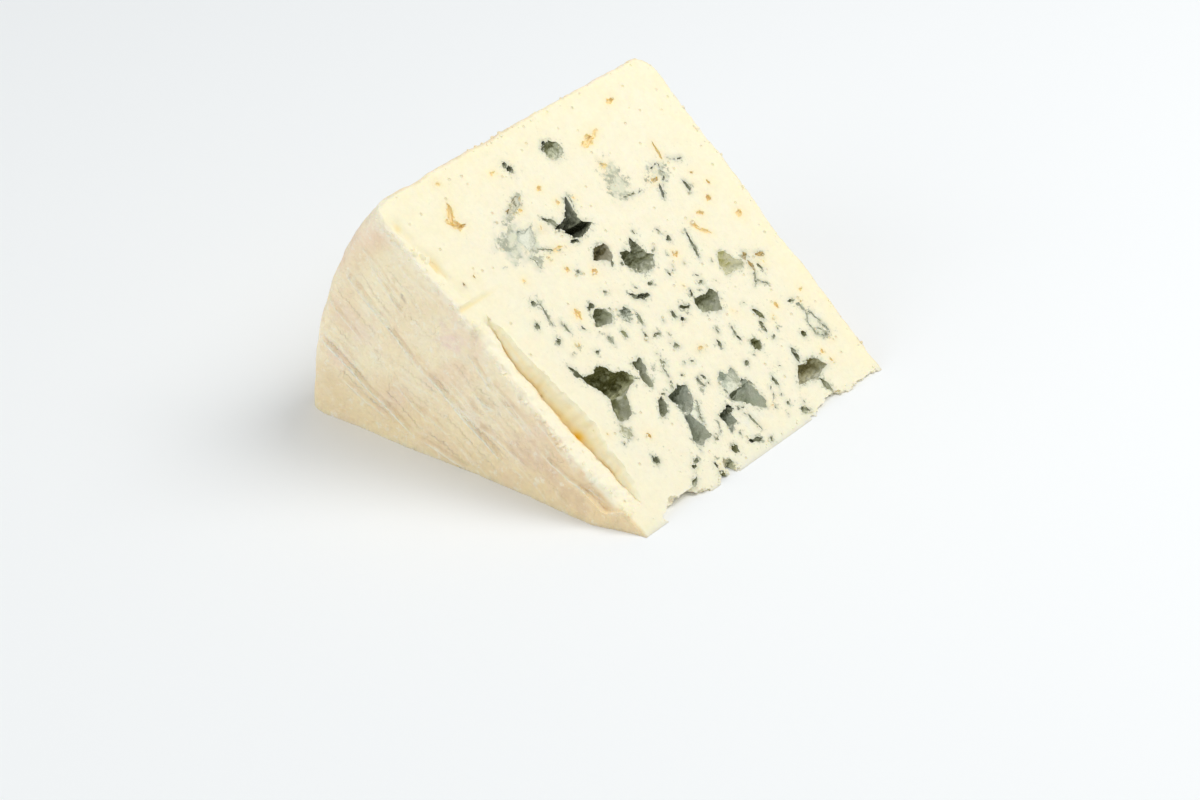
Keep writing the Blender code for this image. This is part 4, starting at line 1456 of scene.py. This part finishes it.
from_tip, up = carved[:, 1], carved[:, 2]
rind = np.tile(tone(*RIND), (len(carved), 1))
rind = lay_over(rind, BROWNISH, 0.5 * smooth_step(1.6 * noise_at(carved, 13 * MM, 61) + 0.25))
rind = lay_over(rind, PINKISH, 0.45 * smooth_step(1.8 * noise_at(carved, 9 * MM, 63) - 0.1))
rind = lay_over(rind, WHITISH, 0.45 * smooth_step(1.6 * mid_noise + 0.1) * (0.6 + 0.6 * fine_noise))
# Painted shade: the rind is painted darker towards the tip edge and the floor.
rind = lay_over(rind, SHADE_TOWARDS_TIP, 0.68 * smooth_step((44 * MM - from_tip) / (34 * MM)))
rind = lay_over(rind, SHADE_TOWARDS_FLOOR, 0.55 * smooth_step((20 * MM - up) / (18 * MM)))
for stain in RIND_STAINS:
    share = stain.share * inside(stain, from_tip, up) * (along_now < SHOWN_HALF)
    rind = lay_over(rind, stain.colour, share * (0.75 + 0.5 * fine_noise))
by_lip = smooth_step(1 - below_cut / (3.5 * MM) + 0.5 * mid_noise) * smooth_step(1 - along_now / (4 * MM))
rind = lay_over(rind, BY_LIP, 0.75 * by_lip)
paint = paint + (rind - paint) * on_rind[:, None]
print("painted", len(paint), "points")

# %% [markdown]
# ## Handing the paint to the shaders
# The shaders read a few things from the mesh: the paint, how deep a point lies below the cut face, how
# light the mould's felt is painted, how thick the marbling is there, where the rind, the stains and the
# creases are. The felt's lightness is painted light and shade: felt that faces up and out, towards the lamps,
# is painted pale, felt on the overhanging side of a pocket and deep down in it is painted dark, and one side
# of each pocket is painted paler than the other, so its lightness comes from the way the surface faces, and
# not from the lamps. Noise makes it patchy as well. Point attributes carry all of it, because they move
# with the mesh. Once they are stored, the slice is moved to the solid's place, and the last points that
# stand out of the solid's box are pressed back into it.

# %% Handing the paint to the shaders
# The felt's painted shade: pale where the surface faces this way, towards the lamps, and darker deep down.
FELT_LIT_FACING = 0.62 * cut_out + 0.5 * cut_normal + np.array([-0.6, 0, 0])
FELT_LIGHTNESS = 0.40
FELT_SHADE_BY_FACING = 0.72
FELT_SHADE_BY_DEPTH = 0.04
PAINTED_LIT_SIDE = np.array([0.6, -0.8])
PAINTED_LIT_SIDE_BY = 0.3
THICKEST_AT = (52, 28)
THICK_REACH = 36

facing = np.empty(len(carved) * 3)
slice_.data.vertex_normals.foreach_get("vector", facing)
felt_shade = FELT_LIGHTNESS + FELT_SHADE_BY_FACING * (facing.reshape(-1, 3) @ FELT_LIT_FACING)
felt_shade -= FELT_SHADE_BY_DEPTH * (below_cut / MM - 2)
felt_shade += 0.16 * noise_at(carved, 2.4 * MM, 55) + 0.1 * noise_at(carved, 0.9 * MM, 56)
# Painted light: one side of each pocket is painted paler, and in the black one it is the other side.
for pocket in POCKETS:
    corners = np.array(pocket.outline) * MM
    size = np.hypot(*corners.std(axis=0))
    away = np.stack([along_now, out_now], axis=-1) - corners.mean(axis=0)
    in_pocket = 1 - smooth_step(np.hypot(*away.T) / size - 1.8)
    towards = -PAINTED_LIT_SIDE if pocket.mould == "black" else PAINTED_LIT_SIDE
    felt_shade += PAINTED_LIT_SIDE_BY * in_pocket * np.clip(away @ towards / size, -1, 1)
marbled = bump(along_now / MM - THICKEST_AT[0], THICK_REACH)
marbled *= bump(out_now / MM - THICKEST_AT[1], THICK_REACH)


def store(mesh, name, kind, values):
    mesh.attributes.new(name, kind, "POINT")
    field = "color" if kind == "FLOAT_COLOR" else "value"
    mesh.attributes[name].data.foreach_set(field, np.asarray(values, dtype=np.float32).ravel())


store(slice_.data, "paint", "FLOAT_COLOR", np.hstack([np.clip(paint, 0, 1), np.ones((len(paint), 1))]))
store(slice_.data, "depth_mm", "FLOAT", below_cut / MM)
store(slice_.data, "felt_shade", "FLOAT", felt_shade)
store(slice_.data, "marbled", "FLOAT", marbled)
store(slice_.data, "rind", "FLOAT", on_rind)
store(slice_.data, "stained", "FLOAT", stained)
store(slice_.data, "across_crease_mm", "FLOAT", across_crease / MM)
store(slice_.data, "crease_strength", "FLOAT", crease_strength)

placed = np.clip(carved + np.array(tip_start), np.array(low), np.array(high))
slice_.data.vertices.foreach_set("co", placed.ravel())
slice_.data.update()
print("in place:", [round(1000 * float(side), 1) for side in placed.max(axis=0) - placed.min(axis=0)], "mm")

# %% [markdown]
# ## Short words for wiring nodes
# A material is a web of nodes, and writing each node and link out in full hides what the web is for. So the
# nodes that are needed again and again get a short word each: noise, streaks, spots, spread, mix and bump.
# Sizes are given in millimetres, as on the cheese.

# %% Short words for wiring nodes
STREAK_LEAN = math.radians(35)
STREAK_STRETCH = 3.5
# A Mix node has its colour sockets after those for numbers and vectors.
MIX_ONE, MIX_OTHER, MIX_RESULT = 6, 7, 2


class Wiring:
    """Short words for adding nodes to a material and joining them up."""

    def __init__(self, material):
        material.use_nodes = True
        self.tree = material.node_tree
        self.shader = self.tree.nodes["Principled BSDF"]
        self.place = self.tree.nodes.new("ShaderNodeTexCoord").outputs["Object"]

    def put(self, value, socket):
        if isinstance(value, bpy.types.NodeSocket):
            self.tree.links.new(value, socket)
        else:
            socket.default_value = value

    def noise(self, size_mm, detail=3, roughness=0.55):
        node = self.tree.nodes.new("ShaderNodeTexNoise")
        self.put(self.place, node.inputs["Vector"])
        self.put(1000 / size_mm, node.inputs["Scale"])
        self.put(detail, node.inputs["Detail"])
        self.put(roughness, node.inputs["Roughness"])
        return node.outputs["Fac"]

    def streaks(self, size_mm, detail=3):
        """Noise drawn out along the creases of the rind."""
        turned = self.tree.nodes.new("ShaderNodeMapping")
        turned.vector_type = "TEXTURE"
        self.put(self.place, turned.inputs["Vector"])
        self.put((STREAK_LEAN, 0, 0), turned.inputs["Rotation"])
        self.put((1, STREAK_STRETCH, 1), turned.inputs["Scale"])
        streaks = self.noise(size_mm, detail)
        self.put(turned.outputs["Vector"], streaks.node.inputs["Vector"])
        return streaks

    def spots(self, size_mm):
        node = self.tree.nodes.new("ShaderNodeTexVoronoi")
        self.put(self.place, node.inputs["Vector"])
        self.put(1000 / size_mm, node.inputs["Scale"])
        return node.outputs["Distance"]

    def spread(self, value, start, end, to_start=0.0, to_end=1.0):
        """Stretches the range from start to end, smoothly, to a new range."""
        node = self.tree.nodes.new("ShaderNodeMapRange")
        node.interpolation_type = "SMOOTHSTEP"
        for name, given in zip(("Value", "From Min", "From Max", "To Min", "To Max"),
                               (value, start, end, to_start, to_end)):
            self.put(given, node.inputs[name])
        return node.outputs["Result"]

    def maths(self, operation, one, other):
        node = self.tree.nodes.new("ShaderNodeMath")
        node.operation = operation
        self.put(one, node.inputs[0])
        self.put(other, node.inputs[1])
        return node.outputs["Value"]

    def times(self, one, other):
        return self.maths("MULTIPLY", one, other)

    def sum(self, one, other):
        return self.maths("ADD", one, other)

    def size_of(self, value):
        """The value without its sign."""
        return self.maths("ABSOLUTE", value, 0)

    def mix(self, share, one, other, blend="MIX"):
        node = self.tree.nodes.new("ShaderNodeMix")
        node.data_type = "RGBA"
        node.blend_type = blend
        self.put(share, node.inputs["Factor"])
        self.put(one, node.inputs[MIX_ONE])
        self.put(other, node.inputs[MIX_OTHER])
        return node.outputs[MIX_RESULT]

    def stored(self, name, output="Fac"):
        node = self.tree.nodes.new("ShaderNodeAttribute")
        node.attribute_name = name
        return node.outputs[output]

    def bump(self, height, depth_mm, below=None):
        node = self.tree.nodes.new("ShaderNodeBump")
        self.put(height, node.inputs["Height"])
        self.put(depth_mm * MM, node.inputs["Distance"])
        self.put(1.0, node.inputs["Strength"])
        if below is not None:
            self.put(below, node.inputs["Normal"])
        return node.outputs["Normal"]


def opaque(red, green, blue):
    return (*tone(red, green, blue), 1)


print("the streaks are", STREAK_STRETCH, "times as long as they are wide")

# %% [markdown]
# ## The paste's shader
# The paint gives the broad colour. The shader adds what is finer than the mesh: a faint mottling, stains
# with frayed edges, specks of mould no bigger than a grain of salt, pores, and a grain in the surface. The
# rind gets streaks that follow its creases, blotches and a white bloom, and its creases get a painted
# highlight on the ridge and painted shade in the furrow. Fresh cheese lets a little light in, which softens
# its shadows and makes them yellow; that is the subsurface part. The bare pits are the same paste, so they
# take the same shader.

# %% The paste's shader
STAIN_DARK = (156, 160, 136)
STAIN_LIGHT = (220, 220, 194)
STREAK_PALE = (253, 246, 228)
BLOTCH = (232, 210, 176)
BLOOM = (253, 247, 230)
RIDGE_HIGHLIGHT = (255, 249, 232)
FURROW_SHADE = (228, 204, 164)
SPECK = (150, 158, 138)
PORE = (242, 216, 158)


def mottled_paint(wiring):
    """The painted colour, a little lighter here and darker there."""
    mottle = wiring.spread(wiring.noise(1.3), 0.35, 0.65, 0.985, 1.012)
    grey = wiring.tree.nodes.new("ShaderNodeCombineColor")
    for name in ("Red", "Green", "Blue"):
        wiring.put(mottle, grey.inputs[name])
    return wiring.mix(1.0, wiring.stored("paint", "Color"), grey.outputs["Color"], "MULTIPLY")


def with_stains(wiring, colour):
    fray = wiring.spread(wiring.noise(1.1, 4, 0.65), 0.3, 0.7, -0.42, 0.42)
    share = wiring.times(wiring.spread(wiring.sum(wiring.stored("stained"), fray), 0.32, 0.72), 0.8)
    patches = wiring.spread(wiring.noise(2.4), 0.4, 0.6)
    return wiring.mix(share, colour, wiring.mix(patches, opaque(*STAIN_DARK), opaque(*STAIN_LIGHT)))


def with_rind_patches(wiring, colour, streaks, on_rind):
    pale_streaks = wiring.times(wiring.spread(streaks, 0.54, 0.66, 0, 0.16), on_rind)
    colour = wiring.mix(pale_streaks, colour, opaque(*STREAK_PALE))
    blotches = wiring.times(wiring.spread(wiring.noise(3.1, 5, 0.65), 0.52, 0.66, 0, 0.35), on_rind)
    colour = wiring.mix(blotches, colour, opaque(*BLOTCH))
    bloom = wiring.times(wiring.spread(wiring.noise(2.3, 5, 0.7), 0.56, 0.66, 0, 0.5), on_rind)
    return wiring.mix(bloom, colour, opaque(*BLOOM))


def crease_lines(wiring, on_rind):
    """Where the ridges of the creases are, and the furrows beside them."""
    crease_here = wiring.times(wiring.stored("crease_strength"), on_rind)
    across = wiring.stored("across_crease_mm")
    from_ridge = wiring.size_of(across)
    from_furrow = wiring.size_of(wiring.sum(across, -0.95))
    ridge = wiring.times(wiring.spread(from_ridge, 0, 0.5, 1, 0), crease_here)
    furrow = wiring.times(wiring.spread(from_furrow, 0, 0.6, 1, 0), crease_here)
    return ridge, furrow


def mould_specks(wiring, off_rind):
    """Specks in patches, where the marbling is thick."""
    thick = wiring.spread(wiring.stored("marbled"), 0.08, 0.75)
    patchy = wiring.spread(wiring.noise(6.0), 0.53, 0.64)
    speck = wiring.spread(wiring.spots(2.1), 0.07, 0.16, 1, 0)
    return wiring.times(wiring.times(speck, patchy), wiring.times(thick, off_rind))


def paste_bumps(wiring, on_rind, streaks, ridge, furrow, pore):
    """The grain and the pores of the paste, and the lumps, streaks, creases and pimples of the rind."""
    bumps = wiring.bump(wiring.noise(0.8, 4), 0.10)
    bumps = wiring.bump(wiring.times(pore, -1.0), 0.25, bumps)
    lumps = wiring.sum(wiring.noise(4.5, 5, 0.6), -0.5)
    bumps = wiring.bump(wiring.times(lumps, on_rind), 1.5, bumps)
    bumps = wiring.bump(wiring.times(wiring.sum(streaks, -0.5), on_rind), 0.18, bumps)
    bumps = wiring.bump(wiring.sum(ridge, wiring.times(furrow, -0.6)), 0.24, bumps)
    pimples = wiring.sum(wiring.noise(1.4, 3, 0.6), -0.5)
    return wiring.bump(wiring.times(pimples, on_rind), 0.3, bumps)


def finish_paste(material):
    wiring = Wiring(material)
    on_rind = wiring.stored("rind")
    off_rind = wiring.spread(on_rind, 0, 0.6, 1, 0)
    streaks = wiring.streaks(2.3)
    ridge, furrow = crease_lines(wiring, on_rind)
    pore = wiring.times(wiring.spread(wiring.spots(3.7), 0.04, 0.13, 1, 0), off_rind)

    colour = with_stains(wiring, mottled_paint(wiring))
    colour = with_rind_patches(wiring, colour, streaks, on_rind)
    # Painted highlight along the ridge of each crease, and painted shade in its furrow.
    colour = wiring.mix(wiring.times(ridge, 0.8), colour, opaque(*RIDGE_HIGHLIGHT))
    colour = wiring.mix(wiring.times(furrow, 0.55), colour, opaque(*FURROW_SHADE))
    colour = wiring.mix(wiring.times(mould_specks(wiring, off_rind), 0.6), colour, opaque(*SPECK))
    colour = wiring.mix(wiring.times(pore, 0.4), colour, opaque(*PORE))
    roughness = wiring.spread(wiring.noise(2.2), 0.3, 0.7, 0.48, 0.68)
    bumps = paste_bumps(wiring, on_rind, streaks, ridge, furrow, pore)

    wiring.put(colour, wiring.shader.inputs["Base Color"])
    wiring.put(roughness, wiring.shader.inputs["Roughness"])
    wiring.put(bumps, wiring.shader.inputs["Normal"])
    wiring.put(0.35, wiring.shader.inputs["Subsurface Weight"])
    wiring.put((1.0, 0.75, 0.4), wiring.shader.inputs["Subsurface Radius"])
    wiring.put(2.2 * MM, wiring.shader.inputs["Subsurface Scale"])
    wiring.put(0.35, wiring.shader.inputs["Specular IOR Level"])


finish_paste(finishes["paste"])
finish_paste(finishes["bare"])
print("the paste has", len(finishes["paste"].node_tree.nodes), "nodes")

# %% [markdown]
# ## The moulds' shader
# Mould is a felt: it has no shine at all, and it is never even. Each kind has a dark and a light tone, its
# own colour in painted shade and in painted light. Patches of them are mixed by the painted shade that is
# stored on the mesh, stirred by noise, so the light side of a pocket is still uneven. The palest patches,
# partly thin felt and partly painted light, are nearly paste, a fine fuzz lies over all of it, and painted
# shade darkens the last bit below the rim, where the rim overhangs. One function finishes every kind,
# because only the tones differ.

# %% The moulds' shader
# Each mould has a dark tone for painted shade, a light tone for painted light, and a number from 0 to 1 that
# says how much of it is light.
MOULD_TONES = {
    "black": ((42, 44, 24), (204, 206, 176), 0.62),
    "green": ((122, 122, 86), (226, 228, 198), 0.5),
    "blue": ((108, 112, 88), (234, 238, 218), 0.54),
    "olive": ((108, 106, 56), (210, 210, 166), 0.58),
    "olive_grey": ((134, 126, 80), (222, 218, 182), 0.5),
    "brown_grey": ((128, 120, 78), (238, 232, 206), 0.75),
    "pale": ((214, 210, 150), (252, 248, 222), 0.8),
    "brown": ((216, 182, 112), (244, 226, 170), 0.5),
    "veil": ((196, 202, 184), (244, 244, 224), 0.75),
    "fleck": ((164, 166, 140), (232, 232, 208), 0.55),
}
THIN_FELT_AND_LIGHT = (236, 236, 214)
RIM_SHADE_DARKENING = 0.7


def finish_mould(material, dark, light, lightness):
    wiring = Wiring(material)
    stirring = wiring.spread(wiring.noise(1.6, 4, 0.6), 0.3, 0.7, -0.17, 0.17)
    # The painted shade stored on the mesh picks between the dark and the light tone.
    patches = wiring.sum(wiring.stored("felt_shade"), stirring)
    share = wiring.spread(patches, 0.9 - 0.9 * lightness, 1.5 - 0.9 * lightness)
    colour = wiring.mix(share, opaque(*dark), opaque(*light))
    # Thin felt, and painted light where the felt shade is palest.
    bared_and_lit = wiring.spread(patches, 1.35 - 0.7 * lightness, 1.65 - 0.7 * lightness, 0, 0.85)
    colour = wiring.mix(bared_and_lit, colour, opaque(*THIN_FELT_AND_LIGHT))
    fuzz = wiring.spread(wiring.noise(0.45, 3), 0.42, 0.62, 0, 0.2)
    colour = wiring.mix(fuzz, colour, opaque(*light))
    # Painted shade just below the rim, where the rim overhangs the pocket.
    rim = wiring.spread(wiring.stored("depth_mm"), 0.1, 0.6, 0.35, 0)
    broken_rim_shade = wiring.times(rim, wiring.spread(wiring.noise(1.2), 0.4, 0.6))
    colour = wiring.mix(broken_rim_shade, colour, opaque(*[RIM_SHADE_DARKENING * value for value in dark]))
    wiring.put(colour, wiring.shader.inputs["Base Color"])
    wiring.put(0.9, wiring.shader.inputs["Roughness"])
    wiring.put(0.15, wiring.shader.inputs["Specular IOR Level"])
    wiring.put(wiring.bump(wiring.noise(0.7, 4, 0.65), 0.4), wiring.shader.inputs["Normal"])


for mould, (dark, light, lightness) in MOULD_TONES.items():
    finish_mould(finishes[mould], dark, light, lightness)
print(len(MOULD_TONES), "moulds")

# %% [markdown]
# ## Handing the slice over
# Flat shading would show every facet, and shading it smooth all over would blur the rims of the pockets.
# Smooth shading up to an angle hides the facets and keeps the rims crisp. The slice then stands in for the
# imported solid, which rides on the root body.

# %% Handing the slice over
SMOOTH_UP_TO = math.radians(50)

bpy.ops.object.select_all(action="DESELECT")
slice_.select_set(True)
bpy.context.view_layer.objects.active = slice_
bpy.ops.object.shade_smooth_by_angle(angle=SMOOTH_UP_TO)
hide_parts(NODE)
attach(slice_, "root")

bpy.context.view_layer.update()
print("triangles:", triangles_in(slice_.data.polygons))
